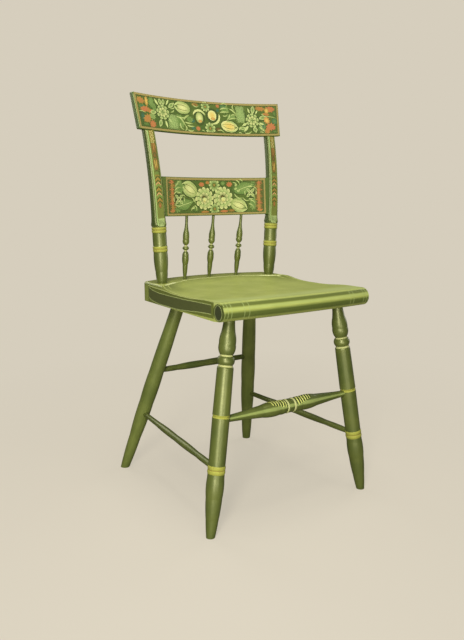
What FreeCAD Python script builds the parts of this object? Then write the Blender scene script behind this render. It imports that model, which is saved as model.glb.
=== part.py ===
import FreeCAD, Part
import math
import os
from types import SimpleNamespace

import Sketcher

# A painted plank-seat side chair with a stencilled back, piece by piece.
# Millimetres. +Z is up from the floor, +X is to the right of someone who faces the
# chair, and +Y points to its back. The origin is on the floor under its middle.
# "left" and "right" in the names are those of someone who faces the chair.

# Every driving size has one line: its name, its value and what it measures.
SIZE_TABLE = (
    # Fits
    ("glue_gap", 0.1, "space for glue round a tenon, on each side"),
    ("socket_spare", 0.6, "air past the end of a tenon in a blind socket"),
    ("overrun", 12, "how far a cutting shape runs past the face that it opens"),
    # Seat plank
    ("deck_height", 451, "top of the rear deck above the floor"),
    ("plank_thickness", 40.5, "from the underside to the top of the rear deck"),
    ("saddle_drop", 8, "how far the flat of the saddle lies below the deck"),
    ("crown_rise", 5, "how far the front of the seat rises above the saddle"),
    ("front_reach", 222, "from the origin to the front of the rolled edge"),
    ("seat_depth", 380, "from the rolled edge to the middle of the rear edge"),
    ("front_half_width", 179, "half the seat's width at the rolled edge"),
    ("front_bow", 7, "how far the rolled edge bows out in front of its ends"),
    ("rear_half_width", 165, "half the seat's width at the rear corners"),
    ("rear_bow", 37, "how far the rear edge bows out behind the corners"),
    ("rear_corner_radius", 19, "rounding of the rear corners in plan"),
    ("roll_radius", 17.8, "radius of the rolled front edge"),
    ("crown_back", 47, "from the rolled edge's front to where the rise ends"),
    ("rise_run", 100, "length of the rise from the saddle to the crown"),
    ("deck_width", 60, "width of the raised deck at the middle of the seat"),
    ("cove_radius", 253, "radius in plan of the deck's front line"),
    ("cove_width", 48, "width of the hollow that falls from the deck"),
    ("arris_radius", 3.5, "rounding of the seat's sharp edges"),
    # Legs
    ("front_socket_x", 135, "half the distance between the front leg sockets"),
    ("front_socket_inset", 54, "front leg sockets, behind the rolled edge's front"),
    ("front_foot_spread", 61, "how far a front foot stands outside its socket"),
    ("front_foot_reach", 25, "how far a front foot stands in front of its socket"),
    ("rear_socket_x", 94, "half the distance between the rear leg sockets"),
    ("rear_socket_inset", 75, "rear leg sockets, in front of the rear edge's middle"),
    ("rear_foot_spread", 83, "how far a rear foot stands outside its socket"),
    ("rear_foot_reach", 129, "how far a rear foot stands behind its socket"),
    ("leg_tenon", 27, "length of a leg's end inside the seat"),
    ("leg_collar", 9, "how far below the seat a leg's end taper starts"),
    ("front_leg_diameter", 33.5, "a front leg at its thickest"),
    ("front_foot_diameter", 17, "a front leg at the floor"),
    ("front_mouth_diameter", 21.5, "a front leg where it enters the seat"),
    ("front_end_diameter", 18.5, "the top end of a front leg's tenon"),
    ("vase_length", 67.5, "the vase at the top of a front leg"),
    ("vase_diameter", 32, "the vase at its widest"),
    ("neck_diameter", 24, "the neck under the vase"),
    ("neck_length", 3, "each neck beside the ball ring"),
    ("ball_length", 16.2, "length of the ball ring along the leg"),
    ("ball_diameter", 32.2, "the ball ring at its widest"),
    ("groove_above", 8, "from the front stretcher's axis up to the leg's groove"),
    ("groove_width", 5, "width of the leg's groove"),
    ("groove_depth", 1.2, "depth of the leg's groove"),
    ("bead_length", 8, "one of the two beads of a double ring on a leg"),
    ("bead_rise", 0.9, "how far a bead of a leg stands out of the leg"),
    ("rear_leg_diameter", 32.5, "a rear leg at its thickest"),
    ("rear_foot_diameter", 19.5, "a rear leg at the floor"),
    ("rear_mouth_diameter", 27, "a rear leg where it enters the seat"),
    ("rear_end_diameter", 23, "the top end of a rear leg's tenon"),
    # Stretchers
    ("front_stretcher_height", 221, "axis of the front stretcher above the floor"),
    ("rear_stretcher_height", 244, "axis of the rear stretcher above the floor"),
    ("side_stretcher_front", 129, "side stretcher's height at the front leg"),
    ("side_stretcher_rear", 140, "side stretcher's height at the rear leg"),
    ("stretcher_past", 5, "how far a stretcher's end passes the leg's axis"),
    ("front_stretcher_diameter", 28.5, "the front stretcher at its swellings"),
    ("front_stretcher_end", 13, "the front stretcher where it enters a leg"),
    ("drum_length", 11, "the drum in the middle of the front stretcher"),
    ("drum_bead_length", 4.6, "each bead beside the drum"),
    ("drum_bead_diameter", 30, "each bead beside the drum, across"),
    ("quirk_length", 1, "each fine groove beside a bead of the stretcher"),
    ("quirk_diameter", 24.5, "the bottom of those grooves, across"),
    ("side_stretcher_diameter", 13.5, "a side stretcher at its middle"),
    ("side_stretcher_end", 11, "a side stretcher where it enters a leg"),
    ("rear_stretcher_diameter", 15, "the rear stretcher at its middle"),
    ("rear_stretcher_end", 12, "the rear stretcher where it enters a leg"),
    # Back posts
    ("post_x", 142, "half the distance between the posts at the seat"),
    ("post_inset", 82, "the posts at the seat, in front of the rear edge's middle"),
    ("post_splay", 2.7, "degrees that each post leans outwards"),
    ("post_tenon_diameter", 16, "lower end of a post's tenon"),
    ("post_tenon_short", 0.8, "how far the tenon's end stays inside the seat"),
    ("post_base_diameter", 20, "a post where it enters the seat"),
    ("post_ring_diameter", 30.5, "the double rings of a post"),
    ("post_body_diameter", 29, "a post between its rings"),
    ("lower_ring_rise", 73, "middle of the lower ring, along the post"),
    ("upper_ring_rise", 113, "middle of the upper ring, along the post"),
    ("post_bead_length", 6, "one of the two beads of a post's ring"),
    ("bend_start", 134, "where the post's backward bend starts, along the post"),
    ("bend_radius", 740, "radius of the backward bend"),
    ("blade_depth", 18, "front to back of the flattened upper post"),
    ("blade_root_width", 28, "the flattened part's width above the ring"),
    ("blade_top_width", 23, "the flattened part's width under the crest"),
    ("blade_ramp", 22, "length of the slope down to the flattened face"),
    ("blade_edge_radius", 5, "rounding of the flattened part's long edges"),
    ("wedge_length", 18, "the wedge in the lower end of a post's tenon"),
    ("wedge_thickness", 2.8, "the wedge at its thick end"),
    ("wedge_tip", 1, "the wedge at its thin end"),
    # Crest rail
    ("crest_rise", 315.6, "lower edge of the crest at a post, above the deck"),
    ("crest_height", 76, "height of the crest rail"),
    ("crest_thickness", 14, "thickness of the crest rail"),
    ("crest_bow_radius", 880, "radius of the crest rail's bend, in plan"),
    ("crest_lower_half", 181.3, "half the length of the crest's lower edge"),
    ("crest_upper_half", 187.2, "half the length of the crest's upper edge"),
    ("crest_arris_radius", 2, "rounding of the crest's edges"),
    ("crest_tenon_diameter", 9, "a post's tenon in the crest"),
    ("crest_tenon_length", 34, "length of that tenon"),
    ("crest_pin_height", 17, "the crest's pins above its lower edge"),
    ("crest_pin_diameter", 4, "diameter of a crest pin"),
    # Mid rail
    ("rail_rise", 139, "lower edge of the mid rail above the deck, along a post"),
    ("rail_height", 82, "height of the mid rail"),
    ("rail_thickness", 12, "thickness of the mid rail"),
    ("rail_bow_radius", 500, "radius of the mid rail's bend, in plan"),
    ("rail_tenon_length", 13, "the mid rail's tenon in a post"),
    ("rail_tenon_height", 58, "height of that tenon"),
    ("rail_tenon_thickness", 7, "thickness of that tenon"),
    ("rail_pin_diameter", 4, "diameter of a mid rail pin"),
    ("pin_stand", 0.8, "how far a pin's head stands out of the back"),
    ("pin_cover", 3, "wood left in front of a pin's tip"),
    # Spindles
    ("spindle_bottom_x", 69, "half the distance between the outer spindles' feet"),
    ("spindle_inset", 52, "the outer spindles' feet, in front of the rear edge's middle"),
    ("spindle_centre_inset", 44, "the centre spindle's foot, measured alike"),
    ("spindle_top_x", 72, "half the distance between the outer spindles' tops"),
    ("spindle_diameter", 14, "a spindle at its widest"),
    ("spindle_foot_diameter", 7.2, "a spindle where it enters the seat"),
    ("spindle_top_diameter", 6.2, "a spindle where it enters the mid rail"),
    ("spindle_foot_tenon", 15, "a spindle's end inside the seat"),
    ("spindle_top_tenon", 12, "a spindle's end inside the mid rail"),
)

# Turned shapes between named places. Each row is the share of the way along the
# stretch, the share of the named diameter, and the swell of the curve that leads
# on from there, as a share of that curve's chord.
FRONT_LOWER_SHARES = ((0.28, 0.74, 0.015), (0.62, 0.945, 0.03), (0.93, 0.985, 0))
VASE_SHARES = ((0.0, 0.78, 0.1), (0.34, 1.0, 0.05), (0.72, 0.83, -0.01))
REAR_LEG_SHARES = ((0.2, 0.82, 0.012), (0.42, 0.985, 0.012), (0.6, 1.0, 0.005), (0.84, 0.92, 0))
SIDE_STRETCHER_SHARES = ((0.2, 0.88, 0.01), (0.5, 1.0, 0.01), (0.8, 0.88, 0))
REAR_STRETCHER_SHARES = ((0.16, 0.86, 0.015), (0.5, 1.0, 0.015), (0.84, 0.86, 0))
LONG_VASE_SHARES = ((0.0, 0.93, 0.06), (0.11, 1.0, 0.045), (0.42, 0.87, 0), (0.8, 0.57, -0.005))
POST_LOWER_SHARES = ((0.0, 0.69, 0.03), (0.38, 0.885, 0.03), (1.0, 1.0, 0))
POST_RINGS_SHARES = ((0.0, 1.0, 0.008), (1.0, 1.0, 0))
SPINDLE_SHARES = (
    (0.05, 0.53, 0.02), (0.24, 0.80, 0.05), (0.37, 1.0, 0.07), (0.435, 0.76, -0.1),
    (0.458, 0.47, 0), (0.468, 0.47, 0), (0.475, 0.74, 0.3), (0.522, 0.74, 0),
    (0.53, 0.45, 0), (0.545, 0.45, -0.1), (0.56, 0.74, 0.12), (0.635, 0.95, 0.05),
    (0.78, 0.72, -0.03), (0.93, 0.45, 0),
)

# Shares of a diameter where two turned shapes meet
FLOOR_END_SHARE = 0.95
SHAFT_TOP_SHARE = 0.94
BALL_EDGE_SHARE = 0.9
DRUM_BEAD_SHARE = 0.93
DRUM_EDGE_SHARE = 0.96
BELL_SHARE = 1.5

# Swells of the small beads, as shares of their chords
LEG_BEAD_SWELL = 0.12
POST_BEAD_SWELL = 0.14
BALL_SWELL = 0.16
DRUM_BEAD_SWELL = 0.18
DRUM_SWELL = 0.04
FOOT_SWELL = 0.01

TINY = 1e-6
STEEP = 0.5
SIDES = (("left", -1), ("right", 1))


# A size that keeps its formula
class Size:
    """A number together with the formula behind it, in the sheet's names."""

    def __init__(self, value, text=None):
        self.value = float(value)
        self.text = text or "(%r)" % self.value

    def __add__(self, other):
        return joined(self, "+", other, self.value + number(other))

    def __radd__(self, other):
        return joined(other, "+", self, number(other) + self.value)

    def __sub__(self, other):
        return joined(self, "-", other, self.value - number(other))

    def __rsub__(self, other):
        return joined(other, "-", self, number(other) - self.value)

    def __mul__(self, other):
        return joined(self, "*", other, self.value * number(other))

    def __rmul__(self, other):
        return joined(other, "*", self, number(other) * self.value)

    def __truediv__(self, other):
        return joined(self, "/", other, self.value / number(other))

    def __neg__(self):
        return joined(0, "-", self, -self.value)


def number(item):
    return item.value if isinstance(item, Size) else float(item)


def sized(item):
    return item if isinstance(item, Size) else Size(item)


def joined(first, sign, second, value):
    return Size(value, "(%s %s %s)" % (sized(first).text, sign, sized(second).text))


def root(item):
    return Size(math.sqrt(number(item)), "sqrt(%s)" % sized(item).text)


def sine(degrees):
    return Size(math.sin(math.radians(degrees.value)), "sin(%s * 1 deg)" % degrees.text)


def cosine(degrees):
    return Size(math.cos(math.radians(degrees.value)), "cos(%s * 1 deg)" % degrees.text)


def distance(start, end):
    return root(sum((b - a) * (b - a) for a, b in zip(start, end)))


def beyond(start, end, length):
    """The point at that length from start, on the line through end."""
    share = length / distance(start, end)
    return tuple(a + (b - a) * share for a, b in zip(start, end))


# The document and its sheet
doc = FreeCAD.newDocument("SideChair")
sheet = doc.addObject("Spreadsheet::Sheet", "Sizes")
size = SimpleNamespace()
for row, (name, value, meaning) in enumerate(SIZE_TABLE, start=1):
    sheet.set("A%d" % row, name)
    sheet.set("B%d" % row, str(value))
    sheet.setAlias("B%d" % row, name)
    sheet.set("C%d" % row, meaning)
    setattr(size, name, Size(value, "Sizes." + name))
doc.recompute()


# Sketches and simple features
def new_body(name):
    body = doc.addObject("PartDesign::Body", name)
    body.Label = name
    return body


def outline(body, role, points):
    """A closed outline on one of the body's own planes, every point tied to the sheet.

    Points run anticlockwise. Each is (across, up, bend): the bend is of the edge that
    leads on from the point, and is None for a straight edge or (radius, side), with
    side 1 for an edge that swells outwards and -1 for a hollow one.
    """
    sketch = body.newObject("Sketcher::SketchObject", body.Name + "_outline")
    plane = next(item for item in body.Origin.OriginFeatures if item.Role == role)
    sketch.AttachmentSupport = [(plane, "")]
    sketch.MapMode = "FlatFace"
    spots = [FreeCAD.Vector(number(across), number(up), 0) for across, up, bend in points]
    edges = []
    for index, (across, up, bend) in enumerate(points):
        start = spots[index]
        end = spots[(index + 1) % len(spots)]
        if bend is None:
            edges.append(Part.LineSegment(start, end))
            continue
        radius, side = bend
        chord = end - start
        rise = radius.value - math.sqrt(radius.value ** 2 - chord.Length ** 2 / 4)
        outward = FreeCAD.Vector(chord.y, -chord.x, 0).normalize()
        edges.append(Part.Arc(start, (start + end) / 2 + outward * rise * side, end))
    sketch.addGeometry(edges)
    ends = []
    for index, spot in enumerate(spots):
        near = sketch.getPoint(index, 1).distanceToPoint(spot) < TINY
        ends.append((1, 2) if near else (2, 1))
    held = []
    for index, (across, up, bend) in enumerate(points):
        after = (index + 1) % len(points)
        held.append((Sketcher.Constraint(
            "Coincident", index, ends[index][1], after, ends[after][0]), None, None))
        corner = ends[index][0]
        held.append(hold("DistanceX", -2, index, corner, across))
        held.append(hold("DistanceY", -1, index, corner, up))
        if bend is not None:
            held.append((Sketcher.Constraint("Radius", index, bend[0].value),
                         "radius%d" % index, bend[0]))
    for constraint, name, place in held:
        if name:
            constraint.Name = name
    sketch.addConstraint([constraint for constraint, name, place in held])
    for constraint, name, place in held:
        if name:
            sketch.setExpression("Constraints." + name, place.text)
    return sketch


def hold(kind, axis, index, corner, place):
    """The constraint for one coordinate of a corner, its name and its size."""
    if abs(number(place)) < TINY:
        return Sketcher.Constraint("PointOnObject", index, corner, axis), None, None
    constraint = Sketcher.Constraint(kind, -1, 1, index, corner, number(place))
    return constraint, "%s%d" % (kind, index), sized(place)


def padded(name, role, points, length):
    """An outline made solid to both sides of its plane."""
    body = new_body(name)
    pad = body.newObject("PartDesign::Pad", name + "_pad")
    pad.Profile = outline(body, role, points)
    pad.Midplane = True
    pad.setExpression("Length", sized(length).text)
    body.Tip = pad
    return body


def turned(name, stations):
    """A turned piece along its own +Z.

    Stations are (along, diameter, swell): the swell of the curve to the next station
    is a share of its chord, 0 for a straight taper and negative for a hollow.
    """
    points = [(0, stations[0][0], None)]
    for index, (along, diameter, swell) in enumerate(stations):
        bend = None
        if swell:
            after = stations[index + 1]
            chord = distance((diameter / 2, along), (after[1] / 2, after[0]))
            tight = abs(swell)
            bend = (chord * (1 / (8 * tight) + tight / 2), 1 if swell > 0 else -1)
        points.append((diameter / 2, along, bend))
    points.append((0, stations[-1][0], None))
    body = new_body(name)
    turn = body.newObject("PartDesign::Revolution", name + "_turn")
    turn.Profile = outline(body, "XZ_Plane", points)
    turn.ReferenceAxis = (turn.Profile[0], ["V_Axis"])
    turn.Angle = 360
    body.Tip = turn
    return body


def stretch(low, high, diameter, shares):
    """Stations along a stretch, from a table of shares."""
    return [(low + (high - low) * along, diameter * wide, swell) for along, wide, swell in shares]


def moved(thing, spot, axis=(0, 0, 1), angle="0 deg"):
    """Place a piece: its origin at the spot, turned about the axis by the angle."""
    spot_text = "; ".join(sized(part).text for part in spot)
    axis_text = "; ".join(sized(part).text for part in axis)
    thing.setExpression("Placement", "placement(vector(%s); rotation(vector(%s); %s))"
                        % (spot_text, axis_text, angle))
    return thing


def laid(thing, start, end):
    """Place a piece whose own axis is +Z from start towards end."""
    east, north, rise = (b - a for a, b in zip(start, end))
    flat = root(east * east + north * north)
    return moved(thing, start, (-north, east, 0), "atan2(%s; %s)" % (flat.text, rise.text))


def drill(name, start, end, diameter):
    tool = doc.addObject("Part::Cylinder", name)
    tool.setExpression("Radius", (diameter / 2).text)
    tool.setExpression("Height", distance(start, end).text)
    return laid(tool, start, end)


def reamer(name, start, end, first, last):
    """A tapered hole from start to end, with its diameter at each."""
    tool = doc.addObject("Part::Cone", name)
    tool.setExpression("Radius1", (first / 2).text)
    tool.setExpression("Radius2", (last / 2).text)
    tool.setExpression("Height", distance(start, end).text)
    return laid(tool, start, end)


def block(name, width, depth, height):
    tool = doc.addObject("Part::Box", name)
    tool.setExpression("Length", sized(width).text)
    tool.setExpression("Width", sized(depth).text)
    tool.setExpression("Height", sized(height).text)
    return tool


def merged(name, things):
    whole = doc.addObject("Part::MultiFuse", name)
    whole.Shapes = things
    whole.Refine = True
    whole.Label = name
    return whole


def shared(name, things):
    part = doc.addObject("Part::MultiCommon", name)
    part.Shapes = things
    part.Label = name
    return part


def cut(name, base, tools):
    tool = tools[0] if len(tools) == 1 else merged(name + "_tools", tools)
    result = doc.addObject("Part::Cut", name + "_cut")
    result.Base = base
    result.Tool = tool
    result.Label = name
    return result


def rounded(name, base, choices):
    """Round the edges that each test picks, by its radius."""
    doc.recompute()
    edges = []
    for index, edge in enumerate(base.Shape.Edges, start=1):
        for test, radius in choices:
            if test(edge):
                edges.append((index, radius.value, radius.value))
                break
    result = doc.addObject("Part::Fillet", name)
    result.Base = base
    result.Edges = edges
    return result


def middle_of(edge):
    return edge.valueAt((edge.FirstParameter + edge.LastParameter) / 2)


# Places that several pieces share
underside = size.deck_height - size.plank_thickness
saddle_height = size.deck_height - size.saddle_drop
rear_reach = size.seat_depth - size.front_reach
post_y = rear_reach - size.post_inset
rail_along = size.rail_rise + size.rail_height / 2
pieces = []


def leg_line(row, side):
    """The foot's middle on the floor, and the leg's axis in the seat's underside."""
    if row == "front":
        across = size.front_socket_x
        back = size.front_socket_inset - size.front_reach
        foot = (side * (across + size.front_foot_spread), back - size.front_foot_reach, Size(0))
    else:
        across = size.rear_socket_x
        back = rear_reach - size.rear_socket_inset
        foot = (side * (across + size.rear_foot_spread), back + size.rear_foot_reach, Size(0))
    return foot, (side * across, back, underside)


def on_leg(row, side, height):
    """The point of a leg's axis at a height above the floor."""
    foot, socket = leg_line(row, side)
    share = height / underside
    return tuple(a + (b - a) * share for a, b in zip(foot, socket))


def post_spot(side, along, back=Size(0)):
    """A point of a post's axis plane: along it from the deck, and how far back."""
    return (side * (size.post_x + along * sine(size.post_splay)),
            post_y + back,
            size.deck_height + along * cosine(size.post_splay))


def bend_at(along):
    """Sine and cosine of a post's backward lean there, and how far back it is."""
    sin_lean = (along - size.bend_start) / size.bend_radius
    cos_lean = root(1 - sin_lean * sin_lean)
    return sin_lean, cos_lean, size.bend_radius * (1 - cos_lean)


def lean_angle(sin_lean):
    return "0 deg - asin(%s)" % sin_lean.text


def bow(radius, half):
    """How far a bent rail's end comes forward of its middle."""
    return radius - root(radius * radius - half * half)


def leaned(origin, lean, across, back, up):
    """A point given in a leaning rail's own directions."""
    sin_lean, cos_lean = lean
    return (origin[0] + across,
            origin[1] + back * cos_lean + up * sin_lean,
            origin[2] - back * sin_lean + up * cos_lean)


def bent_board(name, radius, half, reach, low, high, slope):
    """A board bent round an axis behind the sitter's back, on its own upright axes.

    Its section reaches as far in front of its middle surface as behind it, and its
    edges climb towards the back by the slope.
    """
    front = radius - reach
    back = radius + reach
    drop = reach * slope
    body = new_body(name)
    turn = body.newObject("PartDesign::Revolution", name + "_turn")
    turn.Profile = outline(body, "YZ_Plane", [
        (front, low - drop, None), (back, low + drop, None),
        (back, high + drop, None), (front, high - drop, None)])
    turn.ReferenceAxis = (turn.Profile[0], ["V_Axis"])
    turn.Midplane = True
    turn.setExpression("Angle", "2 * asin(%s)" % (half / front).text)
    body.Tip = turn
    return body


def hung(thing, origin, lean, radius):
    """Place a bent board by the lower middle of its middle surface."""
    return moved(thing, leaned(origin, lean, Size(0), -radius, Size(0)), (1, 0, 0), lean_angle(lean[0]))


# Where the crest sits on the posts
crest_along = size.crest_rise / cosine(size.post_splay)
crest_sin, crest_cos, crest_back = bend_at(crest_along)
crest_lean = (crest_sin, crest_cos)
crest_post = post_spot(1, crest_along, crest_back)
crest_bow = bow(size.crest_bow_radius, crest_post[0])
crest_origin = (Size(0), crest_post[1] + crest_bow * crest_cos, crest_post[2] - crest_bow * crest_sin)

# Where the mid rail sits between the posts
rail_sin, rail_cos, rail_back = bend_at(rail_along)
rail_lean = (rail_sin, rail_cos)
rail_post = post_spot(1, rail_along, rail_back)
rail_taper = (size.blade_root_width - size.blade_top_width) / (crest_along - size.upper_ring_rise)
rail_post_half = (size.blade_root_width - rail_taper * (rail_along - size.upper_ring_rise)) / 2
rail_inner = rail_post[0] - rail_post_half
rail_bow = bow(size.rail_bow_radius, rail_inner)
rail_middle = (Size(0), rail_post[1] + rail_bow * rail_cos, rail_post[2])
rail_origin = leaned(rail_middle, rail_lean, Size(0), Size(0), -size.rail_height / 2)


# Seat plank
def seat_profile():
    """Side view of the plank: underside, rolled front, rise and saddle."""
    roll_y = size.roll_radius - size.front_reach
    crown = saddle_height + size.crown_rise
    crown_y = size.crown_back - size.front_reach
    half_run = size.rise_run / 2
    half_rise = size.crown_rise / 2
    rise_radius = (half_run * half_run + half_rise * half_rise) / (2 * half_rise)
    back = rear_reach + size.overrun
    return [
        (roll_y, crown - 2 * size.roll_radius, None),
        (roll_y + size.roll_radius, underside, None),
        (back, underside, None),
        (back, saddle_height, None),
        (crown_y + size.rise_run, saddle_height, (rise_radius, -1)),
        (crown_y + half_run, saddle_height + half_rise, (rise_radius, 1)),
        (crown_y, crown, None),
        (roll_y, crown, (size.roll_radius, 1)),
        (roll_y - size.roll_radius, crown - size.roll_radius, (size.roll_radius, 1)),
    ]


def seat_outline():
    """Plan of the seat: straight front, slanting sides and a bowed rear edge."""
    corner_y = rear_reach - size.rear_bow
    slant = (size.front_half_width - size.rear_half_width) / (size.front_reach + corner_y)
    front_half = size.front_half_width + slant * size.overrun
    front_y = -size.front_reach - size.overrun
    half = size.rear_half_width
    bow_radius = (half * half + size.rear_bow * size.rear_bow) / (2 * size.rear_bow)
    return [(-front_half, front_y, None), (front_half, front_y, None),
            (half, corner_y, (bow_radius, 1)), (-half, corner_y, None)]


def seat_shape():
    """The plank with its raised deck, before any socket."""
    wide = 2 * (size.front_half_width + size.overrun)
    plank = new_body("seat_profile")
    sweep = plank.newObject("PartDesign::Revolution", "seat_profile_turn")
    half = size.front_half_width
    front_radius = (half * half + size.front_bow * size.front_bow) / (2 * size.front_bow)
    axis_y = front_radius - size.front_reach
    sweep.Profile = outline(plank, "YZ_Plane", [
        (along - axis_y, up, bend) for along, up, bend in seat_profile()])
    sweep.ReferenceAxis = (sweep.Profile[0], ["V_Axis"])
    sweep.Midplane = True
    rear_radius = front_radius - size.seat_depth - size.overrun
    sweep.setExpression("Angle", "2 * asin(%s)" % ((half + size.overrun) / rear_radius).text)
    plank.Tip = sweep
    moved(plank, (Size(0), axis_y, Size(0)))
    deck_front = size.crown_back + size.rise_run - size.front_reach
    slab = block("deck_slab", wide, rear_reach + size.overrun - deck_front,
                 size.plank_thickness - size.saddle_drop / 2)
    moved(slab, (-wide / 2, deck_front, underside + size.saddle_drop / 2))
    inner = size.cove_radius - size.cove_width
    cove_curve = (size.cove_width * size.cove_width + size.saddle_drop * size.saddle_drop)
    cove_bend = cove_curve / (2 * size.saddle_drop)
    cove = new_body("cove")
    over = size.deck_height + size.overrun
    turn = cove.newObject("PartDesign::Revolution", "cove_turn")
    turn.Profile = outline(cove, "XZ_Plane", [
        (0, saddle_height, None), (inner, saddle_height, (cove_bend, 1)),
        (size.cove_radius, size.deck_height, None), (size.cove_radius, over, None),
        (0, over, None)])
    turn.ReferenceAxis = (turn.Profile[0], ["V_Axis"])
    turn.Angle = 360
    cove.Tip = turn
    moved(cove, (Size(0), rear_reach - size.deck_width - size.cove_radius, Size(0)))
    deck = cut("deck", slab, [cove])
    tall = 4 * size.deck_height
    plan = rounded("plan_rounded", padded("plan", "XY_Plane", seat_outline(), tall), [
        (lambda edge: edge.BoundBox.ZLength > size.deck_height.value and middle_of(edge).y > 0,
         size.rear_corner_radius)])
    plank_and_deck = merged("plank_and_deck", [plank, deck])
    return shared("seat_blank", [plank_and_deck, plan])


def seat_edges(blank):
    """Round the deck's edges at the seat's sides and back."""
    def sharp(edge):
        if edge.BoundBox.ZMin < size.deck_height.value - TINY:
            return False
        faces = blank.Shape.ancestorsOfType(edge, Part.Face)
        return any(abs(face.normalAt(*middle_parameters(face)).z) < STEEP for face in faces)

    return rounded("seat_rounded", blank, [(sharp, size.arris_radius)])


def middle_parameters(face):
    first_u, last_u, first_v, last_v = face.ParameterRange
    return (first_u + last_u) / 2, (first_v + last_v) / 2


def seat_sockets():
    """Tapered leg and post sockets, and the drilled ones of the spindles."""
    tools = []
    gap = 2 * size.glue_gap
    for row, mouth, end in (("front", size.front_mouth_diameter, size.front_end_diameter),
                            ("rear", size.rear_mouth_diameter, size.rear_end_diameter)):
        taper = (mouth - end) / size.leg_tenon
        for side_name, side in SIDES:
            foot, socket = leg_line(row, side)
            low = beyond(socket, foot, size.overrun)
            high = beyond(socket, foot, -size.leg_tenon - size.socket_spare)
            tools.append(reamer(
                "%s_leg_socket_%s" % (row, side_name), low, high,
                mouth + taper * size.overrun + gap, end - taper * size.socket_spare + gap))
    post_length = size.plank_thickness / cosine(size.post_splay)
    taper = (size.post_base_diameter - size.post_tenon_diameter) / post_length
    for side_name, side in SIDES:
        low = post_spot(side, -post_length - size.overrun)
        high = post_spot(side, size.overrun)
        tools.append(reamer(
            "post_socket_" + side_name, low, high,
            size.post_tenon_diameter - taper * size.overrun + gap,
            size.post_base_diameter + taper * size.overrun + gap))
    for place, foot, top in spindle_lines():
        low = beyond(foot, top, -size.spindle_foot_tenon - size.socket_spare)
        high = beyond(foot, top, size.overrun)
        tools.append(drill("spindle_socket_" + place, low, high, size.spindle_foot_diameter + gap))
    return tools


# Spindles
def spindle_lines():
    """Each spindle's name, its foot on the deck and its top in the mid rail's edge."""
    lines = []
    for place, side in (("left", -1), ("centre", 0), ("right", 1)):
        inset = size.spindle_inset if side else size.spindle_centre_inset
        foot = (side * size.spindle_bottom_x, rear_reach - inset, size.deck_height)
        across = side * size.spindle_top_x
        top = leaned(rail_origin, rail_lean, across, -bow(size.rail_bow_radius, across), Size(0))
        lines.append((place, foot, top))
    return lines


def make_spindles():
    for place, foot, top in spindle_lines():
        free = distance(foot, top)
        start = size.spindle_foot_tenon
        end = start + free
        stations = [(Size(0), size.spindle_foot_diameter, 0), (start, size.spindle_foot_diameter, 0)]
        stations += stretch(start, end, size.spindle_diameter, SPINDLE_SHARES)
        stations += [(end, size.spindle_top_diameter, 0),
                     (end + size.spindle_top_tenon, size.spindle_top_diameter, 0)]
        body = turned("spindle_" + place, stations)
        pieces.append(laid(body, beyond(foot, top, -size.spindle_foot_tenon), top))


# Legs
def front_leg_stations(length):
    """From below the floor to the tenon's end, along the leg from the floor."""
    slope = length / underside
    ring = size.side_stretcher_front * slope
    groove = (size.front_stretcher_height + size.groove_above) * slope
    collar = length - size.leg_collar
    vase = length - size.vase_length
    ball_top = vase - size.neck_length
    ball_low = ball_top - size.ball_length
    shaft_top = ball_low - size.neck_length
    thick = size.front_leg_diameter
    bead_root = thick - size.bead_rise
    groove_root = thick - 2 * size.groove_depth
    taper = (size.front_mouth_diameter - size.front_end_diameter) / size.leg_tenon
    neck = size.neck_diameter + 4 * size.bead_rise
    ball_edge = size.ball_diameter * BALL_EDGE_SHARE
    stations = [(-size.overrun, size.front_foot_diameter * FLOOR_END_SHARE, 0),
                (Size(0), size.front_foot_diameter, FOOT_SWELL)]
    stations += stretch(Size(0), ring - size.bead_length, thick, FRONT_LOWER_SHARES)
    stations += [(ring - size.bead_length, bead_root, LEG_BEAD_SWELL),
                 (ring, bead_root, LEG_BEAD_SWELL),
                 (ring + size.bead_length, bead_root, 0),
                 (groove - size.groove_width / 2, thick, 0),
                 (groove, groove_root, 0),
                 (groove + size.groove_width / 2, thick, 0),
                 (shaft_top - size.neck_length, thick * SHAFT_TOP_SHARE, LEG_BEAD_SWELL),
                 (shaft_top, neck, 0),
                 (ball_low, neck, 0),
                 (ball_low + size.bead_rise, ball_edge, BALL_SWELL),
                 (ball_top - size.bead_rise, ball_edge, 0),
                 (ball_top, size.neck_diameter, 0)]
    stations += stretch(vase, collar, size.vase_diameter, VASE_SHARES)
    stations += [(collar, size.front_mouth_diameter + taper * size.leg_collar, 0),
                 (length + size.leg_tenon, size.front_end_diameter, 0)]
    return stations


def rear_leg_stations(length):
    collar = length - size.leg_collar
    taper = (size.rear_mouth_diameter - size.rear_end_diameter) / size.leg_tenon
    stations = [(-size.overrun, size.rear_foot_diameter * FLOOR_END_SHARE, 0),
                (Size(0), size.rear_foot_diameter, FOOT_SWELL)]
    stations += stretch(Size(0), collar, size.rear_leg_diameter, REAR_LEG_SHARES)
    stations += [(collar, size.rear_mouth_diameter + taper * size.leg_collar, 0),
                 (length + size.leg_tenon, size.rear_end_diameter, 0)]
    return stations


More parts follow.
